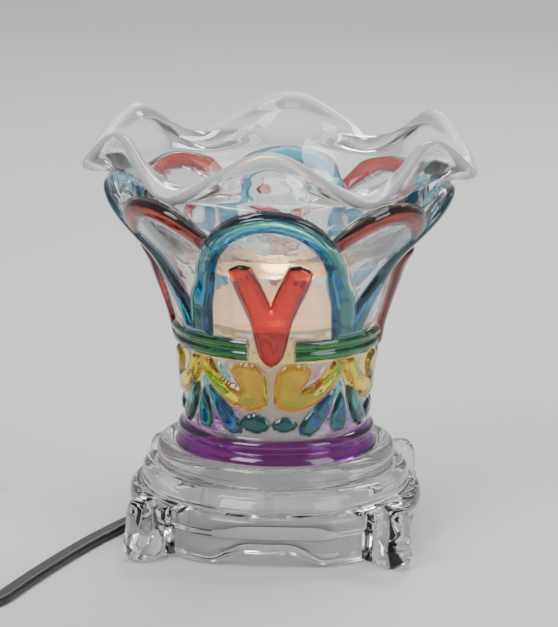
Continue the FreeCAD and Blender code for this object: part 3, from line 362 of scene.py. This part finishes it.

# %% [markdown]
# The shade is one skin: up the outside, over the scalloped rim, and down the inside. Its outline
# comes first, then its stains, as the colour that the glass lets through. The lighter stains are
# painted highlights in the middle of a shape, and they leave its edges darker as painted shade.

# %% Shade outline and stains
WALL = [
    (31.2, 27.35), (31.2, 28.9), (30.4, 29.6), (29.3, 40), (29.9, 50), (31.1, 60), (32.3, 68.6),
    (35.1, 78), (37.3, 84), (39.6, 90), (42.8, 95.2), (46.4, 99.6), (50.0, 104.3), (52.6, 108.9),
    (53.6, 112.0), (54.0, 115.6),
]
WALL_THICKNESS, NECK_INSIDE, WALL_FOOT = 3.3, 26.2, 27.35
RIM_LOBE, RIM_AXIS, RIM_RADIUS, SCALLOP_FOOT = 24.3, 91.2, 53.0, 94.5
CLEAR = (0.93, 0.95, 0.95)
BLUE = (0.0006, 0.075, 0.20)
RED = (0.12, 0.0001, 0.0002)
GREEN = (0.0005, 0.06, 0.012)
AMBER = (0.80, 0.42, 0.0002)
TEAL = (0.0004, 0.07, 0.08)
PURPLE = (0.23, 0.001, 0.30)
# Lighter stains painted into the middles of shapes: painted highlights.
HIGHLIGHT_RED = (0.27, 0.0006, 0.0003)
HIGHLIGHT_YELLOW = (0.95, 0.78, 0.0004)
HIGHLIGHT_TEAL = (0.0008, 0.22, 0.20)
HIGHLIGHT_BLUE = (0.004, 0.26, 0.42)
print("wall", WALL[0], "to", WALL[-1])

# %% [markdown]
# Scrolls, leaves and buds are drawn on the unrolled wall. The V is drawn as it stands in a front
# view. Each outline gives millimetres from the middle of a front or from a corner, and a height.

# %% Painted outlines
SCROLL = [
    (1.1, 49.0), (3.6, 47.4), (7.5, 46.7), (13.1, 48.2), (18.0, 51.0), (21.5, 54.4), (24.2, 58.2),
    (25.6, 62.6), (20.4, 62.6), (18.4, 60.0), (16.0, 57.0), (13.0, 55.0), (9.4, 53.8), (11.8, 56.6),
    (12.7, 59.6), (10.6, 61.8), (7.4, 62.4), (4.0, 61.6), (1.7, 59.0), (1.2, 54.0),
]
SIDE_LEAF = [
    (2.2, 53.4), (5.4, 52.2), (9.0, 48.6), (13.0, 44.4), (15.0, 41.4), (14.4, 39.2), (11.2, 38.4),
    (7.8, 40.4), (5.0, 44.6), (3.0, 49.2),
]
MIDDLE_LEAF = [
    (0.0, 52.0), (1.7, 48.8), (3.2, 44.6), (3.5, 41.2), (2.0, 39.0), (-2.0, 39.0), (-3.5, 41.2),
    (-3.2, 44.6), (-1.7, 48.8),
]
HALF_VEE = [
    (0.0, 82.0), (2.4, 88.0), (6.0, 95.6), (9.6, 95.9), (13.0, 94.0), (12.4, 91.0), (10.9, 87.0),
    (8.7, 82.0), (6.4, 76.4), (5.3, 72.0), (4.6, 68.0), (3.5, 64.6), (2.0, 62.5), (0.0, 61.4),
]
VEE = HALF_VEE + [(-across, up) for across, up in HALF_VEE[-2:0:-1]]
BUD = [
    (0.1, 42.4), (1.7, 44.4), (5.2, 45.8), (8.6, 44.7), (10.2, 42.6), (8.4, 40.4), (4.6, 39.4),
    (1.3, 40.6),
]
WALL_RADIUS = 31.0
print("outlines", [len(outline) for outline in (SCROLL, SIDE_LEAF, MIDDLE_LEAF, VEE, BUD)])


# %% [markdown]
# Every shape is told by a depth: how far a point lies inside its edge. The depth chooses both the
# stain and how far the wall swells there, so that colour and relief always meet.

# %% Depths
CROWN_RADIUS, CROWN_HALF = 20.2, 2.9
LEG_OUTSIDE, LEG_INSIDE = 23.1, 17.3
# How far below its axis an arch's outer and inner edge take to reach the foot's width.
OUTER_FALL, INNER_FALL = 9, 12


def folded(turn, middle):
    """The turn measured from the nearest of the four places a quarter apart."""
    quarter = math.pi / 2
    return (turn - middle + quarter / 2) % quarter - quarter / 2


def inside(across, up, corners):
    """Distance in from an outline, negative outside it."""
    spots = np.array(corners, float)
    near = np.full(across.shape, np.inf)
    crossed = np.zeros(across.shape, bool)
    for (x0, z0), (x1, z1) in zip(spots, np.roll(spots, -1, axis=0)):
        long = (x1 - x0) ** 2 + (z1 - z0) ** 2
        share = np.clip(((across - x0) * (x1 - x0) + (up - z0) * (z1 - z0)) / long, 0, 1)
        away = np.hypot(across - x0 - share * (x1 - x0), up - z0 - share * (z1 - z0))
        near = np.minimum(near, away)
        if z0 != z1:
            hit = x0 + (up - z0) / (z1 - z0) * (x1 - x0)
            crossed ^= ((z0 > up) != (z1 > up)) & (across < hit)
    return np.where(crossed, near, -near)


def arch_band(turn, radius, height, middle, legs):
    """Distance in from the edges of an arch: a half ring above its axis and two legs below."""
    across = np.abs(radius * np.sin(folded(turn, middle)))
    above = height - RIM_AXIS
    ring = CROWN_HALF - np.abs(np.hypot(across, np.maximum(above, 0)) - CROWN_RADIUS)
    outer = LEG_OUTSIDE + (legs[1] - LEG_OUTSIDE) * edge(0, OUTER_FALL, -above)
    inner = LEG_INSIDE + (legs[0] - LEG_INSIDE) * edge(0, INNER_FALL, -above)
    leg = np.minimum(outer - across, across - inner)
    return np.where(above > 0, ring, leg)


leaf_middle = inside(np.array([0.0]), np.array([44.0]), MIDDLE_LEAF)
print("a leaf's middle lies", leaf_middle.round(2), "mm inside its edge")

# %% [markdown]
# Painting mixes a stain in where its shape covers the wall, and swelling lifts the wall to a
# quarter round at the shape's edge.

# %% Paint helpers
EDGE_BLEND, EDGE_START = 0.45, 0.1


def tint(colour, stain, cover):
    """Mixes a stain into the paint by its cover."""
    colour[..., :3] += (np.array(stain) - colour[..., :3]) * cover[..., None]


def stain_in(colour, depth, stain, blend=EDGE_BLEND):
    """Stains the wall where the depth inside a shape is positive."""
    tint(colour, stain, edge(-EDGE_START - blend, -EDGE_START, depth))


def lay(colour, relief, depth, stain, rise, soft):
    """Stains a shape and raises it, round at its edge and flat further in than soft."""
    stain_in(colour, depth, stain)
    share = np.clip(depth / soft, 0, 1)
    np.maximum(relief, rise * np.sqrt(share * (2 - share)), out=relief)


# A ring: its middle height, half its height, its stain, its rise and whether the V parts it.
RINGS = ((66.6, 3.4, GREEN, 1.7, True), (33.0, 4.3, PURPLE, 2.5, False))
RING_GAP, RING_BLEND = (6.2, 7.4), 0.2


def rings(colour, relief, front, height):
    """Lays the rings, each two round beads, and gives the relief with them on."""
    for middle, half, stain, rise, parted in RINGS:
        share = edge(*RING_GAP, np.abs(front)) if parted else np.ones_like(front)
        away = np.abs(height - middle)
        bead = np.sqrt(np.clip(1 - ((away - half / 2) / (half / 2)) ** 2, 0, 1))
        tint(colour, stain, edge(half + RING_BLEND, half - RING_BLEND, away) * share)
        relief = np.where(away < half, np.maximum(relief, rise * bead * share), relief)
    return relief


print("rings", len(RINGS))

# %% [markdown]
# The whole wall is painted in the order in which the shapes lie over each other: scrolls, leaves
# and buds, the rings, the red arches at the corners, the V of each front, and the blue arches.

# %% Shade paint
RED_LEGS, BLUE_LEGS = (19.3, 27.2), (18.5, 25.3)
RED_START, BLUE_FOOT, CROWN_LIGHT = 20.0, 69.9, 4.0
BUD_HEIGHT, BUD_MIDDLE = 42.4, 42.6
SMALL_BUD = (1.12, 1.3)

# How far each shape rises, and how far in from its edge it is round.
SWELLS = {
    "scroll": (1.4, 2.2), "leaf": (1.3, 1.9), "bud": (1.2, 2.4), "small_bud": (1.1, 2.2),
    "red_arch": (1.5, 2.6), "vee": (2.0, 3.0), "blue_arch": (1.9, 2.6),
}
# How far in from its edge a shape's painted highlight is full, and over what width it gets so.
HIGHLIGHT_CORES = {
    "scroll": (2.6, 1.6), "leaf": (1.9, 1.0), "red_arch": (2.2, 1.6), "vee": (3.0, 2.2),
    "blue_highlight": (2.4, 1.8),
}


def paint_highlight(colour, depth, stain, shape):
    """Paints a highlight into the middle of a shape, as a lighter stain."""
    start, blend = HIGHLIGHT_CORES[shape]
    stain_in(colour, depth - start, stain, blend)


def shade_paint(turn, radius, height):
    """The stain, its painted highlights and the relief of the wall's outer face."""
    colour = np.ones(turn.shape + (4,))
    colour[..., :3] = CLEAR
    relief = np.zeros(turn.shape)
    square = folded(turn, 0.0) * WALL_RADIUS
    corner = folded(turn, math.pi / 4) * WALL_RADIUS
    front = radius * np.sin(folded(turn, 0.0))
    scroll = inside(np.abs(square), height, SCROLL)
    # The lighter middles painted below are painted highlights; the darker edges they leave are
    # painted shade.
    lay(colour, relief, scroll, AMBER, *SWELLS["scroll"])
    paint_highlight(colour, scroll, HIGHLIGHT_YELLOW, "scroll")
    for leaf in (inside(np.abs(corner), height, SIDE_LEAF), inside(corner, height, MIDDLE_LEAF)):
        lay(colour, relief, leaf, TEAL, *SWELLS["leaf"])
        paint_highlight(colour, leaf, HIGHLIGHT_TEAL, "leaf")
    lay(colour, relief, inside(-square, height, BUD), TEAL, *SWELLS["bud"])
    small_up = (height - BUD_HEIGHT) * SMALL_BUD[1] + BUD_MIDDLE
    small_bud = inside(square * SMALL_BUD[0], small_up, BUD)
    lay(colour, relief, small_bud, TEAL, *SWELLS["small_bud"])
    relief = rings(colour, relief, front, height)
    red = arch_band(turn, radius, height, math.pi / 4, RED_LEGS)
    red = np.minimum(red, np.abs(front) - RED_START)
    lay(colour, relief, red, RED, *SWELLS["red_arch"])
    paint_highlight(colour, red, HIGHLIGHT_RED, "red_arch")
    vee = inside(front, height, VEE)
    lay(colour, relief, vee, RED, *SWELLS["vee"])
    paint_highlight(colour, vee, HIGHLIGHT_RED, "vee")
    blue = arch_band(turn, radius, height, 0.0, BLUE_LEGS)
    footed = np.minimum(blue, height - BLUE_FOOT)
    lay(colour, relief, footed, BLUE, *SWELLS["blue_arch"])
    # A painted highlight across the top of the blue arch.
    blue_highlight = np.minimum(blue, height - RIM_AXIS - CROWN_LIGHT)
    paint_highlight(colour, blue_highlight, HIGHLIGHT_BLUE, "blue_highlight")
    return colour, relief


# The V's middle holds its painted highlight.
tried, _ = shade_paint(np.zeros((1, 1)), np.full((1, 1), 35.0), np.full((1, 1), 75.0))
print("stain in the V's middle", tried[0, 0].round(3))

# %% [markdown]
# The skin's rows are pulled down to the scalloped rim above the scallops' foot, outside and inside
# alike, and the relief fades out just below the rim.

# %% Shade skin
RELIEF_AT_RIM = 0.35


def rim_height(turn):
    """The eight-lobed rim: in each eighth of a turn, the top of a circle about the rim's axis."""
    eighth = math.pi / 4
    off = (turn + eighth / 2) % eighth - eighth / 2
    aside = RIM_RADIUS * np.sin(off)
    return RIM_AXIS + np.sqrt(RIM_LOBE**2 - aside**2)


def pulled(heights, rim, top):
    """Heights on a plain rim, squeezed above the scallops' foot to end at this rim."""
    pull = (rim - SCALLOP_FOOT) / (top - SCALLOP_FOOT)
    low = SCALLOP_FOOT + (heights - SCALLOP_FOOT) * pull
    return np.where(heights > SCALLOP_FOOT, low, heights)


def stained_highlit_shade():
    """The shade: radius by height along the wall's outline plus the painted shapes' relief."""
    around, outer_rows, inner_rows = 640, 138, 16
    turn = np.linspace(0, 2 * math.pi, around, endpoint=False)[None, :]
    rim = rim_height(turn)
    outside = smooth_line(WALL, 2000)
    top = outside[-1, 1]
    heights = np.linspace(outside[0, 1] + 0.01, top - 0.01, outer_rows)[:, None]
    up = pulled(heights, rim, top)
    wide = np.interp(up, outside[:, 1], outside[:, 0])
    colour, relief = shade_paint(turn + 0 * up, wide, up)
    near_rim = edge(0.0, 1.2, rim + 0.1 - up)
    radius = wide + relief * (RELIEF_AT_RIM + (1 - RELIEF_AT_RIM) * near_rim)
    inner_up = pulled(np.linspace(top - 0.6, WALL_FOOT, inner_rows)[:, None], rim, top)
    inner_wide = np.interp(inner_up, outside[:, 1], outside[:, 0]) - WALL_THICKNESS
    inner_wide = np.maximum(inner_wide, NECK_INSIDE)
    inner_colour = np.empty(inner_up.shape + (4,))
    inner_colour[...] = (*CLEAR, 1.0)
    return skin(
        "stained_highlit_shade",
        np.vstack([radius, inner_wide]),
        np.repeat(turn, outer_rows + inner_rows, 0),
        np.vstack([up, inner_up]),
        np.vstack([colour, inner_colour]),
    )


shade = stained_highlit_shade()
dress(shade, finishes["painted_glass"])
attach(shade, "shade")
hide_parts("glass_shade")
print("shade", len(shade.data.polygons))

# %% [markdown]
# The base is a stepped drum with rounded tiers, hollow underneath, whose skirt is arched on its
# four fronts. Its outlines and the columns' places come first.

# %% Base outlines
DRUM = [
    (45.0, 0.6), (45.2, 5), (45.6, 10.4), (46.6, 11.4), (46.8, 13.2), (46.4, 15.4), (44.6, 17.0),
    (43.0, 17.4), (42.6, 18.2), (42.8, 20), (42.2, 22.2), (40.4, 23.4), (37.4, 23.7), (37.0, 24.6),
    (38.0, 26.2), (38.2, 28.2), (37.2, 30.0), (35.2, 30.5), (33.2, 29.9), (32.2, 28.2),
    (31.9, 27.0), (28, 27.0), (24.6, 26.8), (24.5, 24), (24.6, 21.2), (28, 21.0), (35, 21.0),
    (38.4, 20.2), (39.6, 17.5), (39.6, 10), (39.7, 2), (40.4, 0.7), (43, 0.45),
]
COLUMN = [
    (0.3, 0.0), (2.9, 0.0), (4.8, 0.9), (5.9, 3.0), (6.1, 5.2), (5.8, 7.4), (5.4, 9.6), (5.2, 12.6),
    (4.9, 15.6), (4.4, 18.0), (3.2, 19.6), (1.6, 20.2), (0.3, 20.3),
]
COLUMN_X, COLUMN_Y = 39.2, 37.4
ARCH_TOP, ARCH_HALF, ARCH_FLAT = 6.1, 20.0, 5.5
SKIRT_RADIUS, SKIRT_INSIDE, SKIRT_TOP, SKIRT_HEIGHT = 45.0, 39.0, 11.0, 10.4
ARCH_LIFT, ARCH_EASE = 0.92, 0.35
RIB_START, RIB_WIDTH, RIB_HEIGHT, RIB_MIDDLE = 42.5, 9.0, 15.6, 9.0
print("columns at", COLUMN_X, COLUMN_Y)


# %% [markdown]
# The drum's foot is lifted where a front's arch stands over it. The columns are turned pieces with
# bun feet, which short ribs join to the drum, and one union makes them a single skin.

# %% Base pieces
def drum():
    """The drum: its foot lifted over each front by a rounded arch."""
    around, along = 360, 150
    turn = np.linspace(0, 2 * math.pi, around, endpoint=False)[None, :]
    line = smooth_line(DRUM + DRUM[:1], along + 1)[:-1]
    radius = np.repeat(line[:, :1], around, 1)
    height = np.repeat(line[:, 1:], around, 1)
    across = np.abs(SKIRT_RADIUS * np.sin(folded(turn, 0.0)))
    lift = ARCH_TOP * edge(ARCH_HALF, ARCH_FLAT, across)
    low = np.clip((SKIRT_TOP - height) / SKIRT_HEIGHT, 0, 1)
    raised = lift * low * (1 - ARCH_EASE * low * lift / SKIRT_TOP) * ARCH_LIFT
    height = height + np.where(radius > SKIRT_INSIDE, raised, 0)
    return skin("drum", radius, np.repeat(turn, along, 0), height)


def column(x, y):
    """A column with its bun foot, turned about its own axis."""
    around, along = 48, 60
    line = smooth_line(COLUMN, along)
    turn = np.linspace(0, 2 * math.pi, around, endpoint=False)[None, :]
    made = skin(
        "column",
        np.repeat(line[:, :1], around, 1),
        np.repeat(turn, along, 0),
        np.repeat(line[:, 1:], around, 1),
        closed=False,
    )
    for vertex in made.data.vertices:
        vertex.co.x += x * MM
        vertex.co.y += y * MM
    return made


def rib(x, y):
    """A flat web from the drum out to a column."""
    angle = math.atan2(y, x)
    centre = math.hypot(x, y)
    size = ((centre - RIB_START) * MM, RIB_WIDTH * MM, RIB_HEIGHT * MM)
    middle = (centre + RIB_START) / 2 * MM
    bar = bmesh.new()
    bmesh.ops.create_cube(bar, size=1.0)
    bmesh.ops.scale(bar, vec=size, verts=bar.verts)
    bmesh.ops.translate(bar, vec=(middle, 0, RIB_MIDDLE * MM), verts=bar.verts)
    turn = np.array(
        [[math.cos(angle), -math.sin(angle), 0], [math.sin(angle), math.cos(angle), 0], [0, 0, 1]]
    )
    for vertex in bar.verts:
        vertex.co = turn @ np.array(vertex.co)
    mesh = bpy.data.meshes.new("rib")
    bar.to_mesh(mesh)
    bar.free()
    made = bpy.data.objects.new("rib", mesh)
    bpy.context.collection.objects.link(made)
    return made


def joined(body, tools):
    """One solid from a body and what is added to it."""
    for tool in tools:
        union = body.modifiers.new("union", "BOOLEAN")
        union.operation = "UNION"
        union.solver = "EXACT"
        union.object = tool
    graph = bpy.context.evaluated_depsgraph_get()
    mesh = bpy.data.meshes.new_from_object(body.evaluated_get(graph))
    body.modifiers.clear()
    body.data = mesh
    for tool in tools:
        bpy.data.objects.remove(tool)
    return body


corners = [(x, y) for x in (COLUMN_X, -COLUMN_X) for y in (COLUMN_Y, -COLUMN_Y)]
base = joined(drum(), [rib(*c) for c in corners] + [column(*c) for c in corners])
base.name = "stepped_base"
dress(base, finishes["clear_glass"])
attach(base, "base")
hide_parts("glass_base")
print("base", len(base.data.polygons))

# %% [markdown]
# The lead is one flat twin cord from the base to the plug. It follows the points chosen for the
# model: out of the base, through the dimmer, round the coil and on to the plug.

# %% Lead routes
FRONT_ROUTE = (
    (-26.0, 0.0, 6.2), (-33.5, 0.1, 5.8), (-40.7, -1.9, 3.8), (-46.9, -6.0, 2.1),
    (-51.3, -12.4, 1.4), (-57.4, -26.2, 1.4), (-66.0, -49.4, 1.4), (-73.7, -73.0, 1.4),
    (-77.6, -86.6, 1.4), (-84.4, -92.6, 1.5), (-92.4, -97.2, 2.2), (-101.4, -98.9, 4.0),
    (-110.4, -98.6, 4.2),
)
THROUGH_DIMMER = ((-118.0, -98.6, 4.2), (-133.4, -98.6, 4.2), (-149.0, -98.6, 4.2))
BACK_ROUTE = (
    (-156.4, -98.6, 4.2), (-165.6, -98.9, 4.0), (-174.4, -96.1, 3.0), (-181.6, -90.5, 2.6),
    (-186.6, -83.0, 2.6), (-189.2, -74.4, 2.6), (-189.8, -65.4, 2.6), (-190.0, -54.2, 2.6),
    (-190.0, -43.0, 2.6),
)
END_ROUTE = (
    (-189.3, -31.0, 6.3), (-189.7, -18.8, 5.8), (-189.0, -7.0, 2.8), (-184.8, 4.0, 1.4),
    (-177.0, 12.8, 1.4), (-166.4, 18.0, 2.6), (-155.0, 19.6, 6.0), (-144.0, 19.6, 6.5),
)
COIL_TURNS_IN, COIL_TURNS_OUT = 2.5, 1.5
COIL_RADIUS, COIL_PITCH, COIL_LAYER, COIL_STEP = 38.5, 6.1, 3.7, 5.4
COIL_HEIGHT, STEP_TURNS, POINTS_A_TURN = 2.6, 0.75, 16
print("route points", len(FRONT_ROUTE), len(THROUGH_DIMMER), len(BACK_ROUTE), len(END_ROUTE))


# %% [markdown]
# The coil winds inward on the table, climbs, steps aside and winds outward above. The cord's
# outline is two round conductors side by side, drawn once and swept along the route.

# %% Lead
LEAD_WIDTH, LEAD_THICKNESS = 5.5, 2.8
GROOVE_SHARE, GROOVE_WIDTH, OUTLINE_POINTS, END_SHARPNESS = 0.22, 0.8, 28, 3


def coil_spot(turned_by):
    """A point of the coil: inward below, a climb, a step aside, and outward above."""
    climb = edge(0.0, 1.0, (turned_by - COIL_TURNS_IN + 0.5) * 2)
    outward_turns = max(turned_by - COIL_TURNS_IN, 0.0)
    radius = COIL_RADIUS - COIL_PITCH * min(turned_by, COIL_TURNS_IN)
    radius += COIL_PITCH * outward_turns + COIL_STEP * edge(0.0, 1.0, outward_turns / STEP_TURNS)
    angle = math.pi - 2 * math.pi * turned_by
    start = BACK_ROUTE[-1]
    return (
        start[0] + COIL_RADIUS + radius * math.cos(angle),
        start[1] + radius * math.sin(angle),
        COIL_HEIGHT + COIL_LAYER * climb,
    )


def lead_profile():
    """The flat twin outline: a stadium with a shallow groove along each flat side."""
    curve = bpy.data.curves.new("lead_profile", "CURVE")
    curve.dimensions = "2D"
    line = curve.splines.new("POLY")
    spots = []
    half, low = LEAD_WIDTH / 2, LEAD_THICKNESS / 2
    for k in range(OUTLINE_POINTS):
        t = 2 * math.pi * k / OUTLINE_POINTS
        side = math.copysign(1, math.cos(t)) * min(1, abs(math.cos(t)) * END_SHARPNESS)
        x = (half - low) * side
        x += low * math.cos(t)
        y = low * math.sin(t) * (1 - GROOVE_SHARE * math.exp(-((x / GROOVE_WIDTH) ** 2)))
        spots.append((x * MM, y * MM, 0, 1))
    line.points.add(len(spots) - 1)
    for point, spot in zip(line.points, spots):
        point.co = spot
    line.use_cyclic_u = True
    made = bpy.data.objects.new("lead_profile", curve)
    bpy.context.collection.objects.link(made)
    made.hide_render = True
    return made


def lead():
    """The cord as one curve that follows its points, and the length of straight lines between them.

    The curve cuts the corners of those lines a little, so it is about a hundredth shorter.
    """
    total = COIL_TURNS_IN + COIL_TURNS_OUT
    steps = int(total * POINTS_A_TURN)
    coil = [coil_spot(total * k / steps) for k in range(1, steps + 1)]
    spots = [*FRONT_ROUTE, *THROUGH_DIMMER, *BACK_ROUTE, *coil, *END_ROUTE]
    curve = bpy.data.curves.new("lead", "CURVE")
    curve.dimensions = "3D"
    curve.twist_mode = "Z_UP"
    curve.resolution_u = 6
    curve.bevel_mode = "OBJECT"
    curve.bevel_object = lead_profile()
    curve.use_fill_caps = True
    line = curve.splines.new("NURBS")
    line.points.add(len(spots) - 1)
    for point, spot in zip(line.points, spots):
        point.co = (spot[0] * MM, spot[1] * MM, spot[2] * MM, 1)
    line.order_u = 3
    line.use_endpoint_u = True
    made = bpy.data.objects.new("lead", curve)
    bpy.context.collection.objects.link(made)
    length = sum(math.dist(a, b) for a, b in zip(spots, spots[1:])) * MM
    return made, length


cord, cord_length = lead()
dress(cord, finishes["black_pvc"])
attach(cord, "base")
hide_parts("cord_lead", "cord_tail", "cord_coil", "cord_end")
print("lead length", round(cord_length, 3))

# %% [markdown]
# Moulded plastic pieces and the plug's blades keep the model's shape but get softened edges.

# %% Softened pieces
FLAT_ANGLE, SOFT_ANGLE, SOFT_SEGMENTS = math.radians(0.5), math.radians(35), 3


def softened(node, width):
    """The model's piece with its facets merged and its edges rounded."""
    source = nodes[node]
    mesh = source.data.copy()
    work = bmesh.new()
    work.from_mesh(mesh)
    bmesh.ops.remove_doubles(work, verts=work.verts, dist=1e-6)
    bmesh.ops.dissolve_limit(work, angle_limit=FLAT_ANGLE, verts=work.verts, edges=work.edges)
    work.to_mesh(mesh)
    work.free()
    made = bpy.data.objects.new(f"{node}_soft", mesh)
    bpy.context.collection.objects.link(made)
    rounding = made.modifiers.new("rounding", "BEVEL")
    rounding.width = width * MM
    rounding.segments = SOFT_SEGMENTS
    rounding.limit_method = "ANGLE"
    rounding.angle_limit = SOFT_ANGLE
    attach(made, body_of(source)[0])
    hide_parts(node)
    return made


softened_pieces = {
    node: softened(node, width)
    for node, width in (
        ("dimmer_upper_shell", 1.2), ("dimmer_lower_shell", 0.8), ("dimmer_wheel", 0.25),
        ("plug_body", 1.6), ("plug_blades", 0.3), ("cord_bushing", 0.4), ("cord_tie", 0.25),
    )
}
print("softened", list(softened_pieces))

# %% [markdown]
# The lamp is lit as in the photograph: its capsule glows, and the lens and the mirror behind it
# glow a little with it, since the light that they spread is too costly to trace.

# %% Lamp glow
CAPSULE_GLOW, LENS_GLOW, MIRROR_GLOW = 16.0, 0.2, 0.3


def lamp_glow():
    """The capsule's warm white light."""
    glow = Finish("lamp_glow", Base_Color=(1, 0.8, 0.5, 1))
    glow.surface.inputs["Emission Color"].default_value = (1.0, 0.70, 0.36, 1)
    glow.surface.inputs["Emission Strength"].default_value = CAPSULE_GLOW
    return glow


def lit_lens():
    """Frosted glass that lets most light through and glows warm itself."""
    lens = Finish(
        "lit_lens",
        Base_Color=(1, 0.93, 0.82, 1),
        Transmission_Weight=0.8,
        Roughness=0.25,
        IOR=GLASS_IOR,
    )
    lens.surface.inputs["Emission Color"].default_value = (1.0, 0.5, 0.16, 1)
    lens.surface.inputs["Emission Strength"].default_value = LENS_GLOW
    return lens


dress(nodes["lamp_capsule"], lamp_glow())
dress(nodes["lamp_lens"], lit_lens())
mirror = finishes["mirror_coat"].surface.inputs
mirror["Emission Color"].default_value = (1.0, 0.48, 0.15, 1)
mirror["Emission Strength"].default_value = MIRROR_GLOW
print("glow", CAPSULE_GLOW, LENS_GLOW, MIRROR_GLOW)


# %% [markdown]
# A pale floor that bends up behind the object, and four soft studio lights.

# %% Floor and lights
def stage_light(name, place, target, size, power, colour):
    """A rectangular light at a place, turned to face its target."""
    lamp = bpy.data.lights.new(name, "AREA")
    lamp.shape = "RECTANGLE"
    lamp.size, lamp.size_y = size
    lamp.energy = power
    lamp.color = colour
    made = bpy.data.objects.new(name, lamp)
    bpy.context.collection.objects.link(made)
    made.location = place
    way = np.array(target) - np.array(place)
    yaw = math.atan2(way[1], way[0]) - math.pi / 2
    pitch = math.atan2(way[2], math.hypot(way[0], way[1])) + math.pi / 2
    made.rotation_euler = (pitch, 0, yaw)


def floor():
    """A flat floor, a round bend and a plain wall behind."""
    mesh = bpy.data.meshes.new("floor")
    reach, back, rise, bend = 2.2, 1.2, 1.6, 0.35
    profile = [(-reach, 0.0), (back, 0.0)]
    profile += [
        (back + bend * math.sin(a), bend * (1 - math.cos(a)))
        for a in np.linspace(0.1, math.pi / 2, 14)
    ]
    profile.append((back + bend, rise))
    spots = [(x, y, z) for y, z in profile for x in (-reach, reach)]
    faces = [(2 * k, 2 * k + 1, 2 * k + 3, 2 * k + 2) for k in range(len(profile) - 1)]
    mesh.from_pydata(spots, [], faces)
    mesh.polygons.foreach_set("use_smooth", np.ones(len(faces), bool))
    made = bpy.data.objects.new("floor", mesh)
    bpy.context.collection.objects.link(made)
    dress(made, plain("pale_floor", (0.62, 0.61, 0.60), 0.6, grain=40.0))


floor()
for light in (
    ("key", (-0.7, -0.9, 1.1), (0, 0, 0.07), (0.7, 0.7), 16, (1.0, 0.98, 0.95)),
    ("fill", (1.0, -0.6, 0.6), (0, 0, 0.07), (0.5, 0.9), 7, (0.94, 0.97, 1.0)),
    ("strip", (0.25, 0.8, 0.9), (0, 0, 0.08), (0.9, 0.25), 9, (1.0, 1.0, 1.0)),
    ("top", (0.0, 0.0, 1.3), (0, 0, 0.0), (0.5, 0.5), 6, (1.0, 1.0, 1.0)),
):
    stage_light(*light)
world = bpy.data.worlds.new("studio")
world.use_nodes = True
backdrop = world.node_tree.nodes["Background"].inputs
backdrop["Color"].default_value = (0.55, 0.57, 0.60, 1)
backdrop["Strength"].default_value = 0.75
bpy.context.scene.world = world
print("lights", [lamp.name for lamp in bpy.data.lights])


# %% [markdown]
# The camera stands where the photograph was taken from: a long lens a metre away, a little to the
# right and raised, rolled by under a degree.

# %% Camera
SENSOR_WIDTH, FOCAL_LENGTH, NEAREST = 36.0, 180.3, 0.01


def camera():
    """The photograph's view: turned by its azimuth, raised by its elevation, then rolled."""
    azimuth, elevation, roll = (math.radians(v) for v in (3.3, 13.5, 0.75))
    distance, sideways, target_height = 1.0, 0.00045, 0.0711
    target = np.array([sideways * math.cos(azimuth), sideways * math.sin(azimuth), target_height])
    back = np.array(
        [
            math.sin(azimuth) * math.cos(elevation),
            -math.cos(azimuth) * math.cos(elevation),
            math.sin(elevation),
        ]
    )
    lens = bpy.data.cameras.new("photo_view")
    lens.sensor_width = SENSOR_WIDTH
    lens.lens = FOCAL_LENGTH
    lens.clip_start = NEAREST
    made = bpy.data.objects.new("photo_view", lens)
    bpy.context.collection.objects.link(made)
    made.location = target + back * distance
    made.rotation_mode = "XYZ"
    turn = (
        Matrix.Rotation(azimuth, 3, "Z")
        @ Matrix.Rotation(math.pi / 2 - elevation, 3, "X")
        @ Matrix.Rotation(roll, 3, "Z")
    )
    made.rotation_euler = turn.to_euler()
    bpy.context.scene.camera = made


camera()
print("camera", tuple(round(v, 4) for v in bpy.context.scene.camera.location))
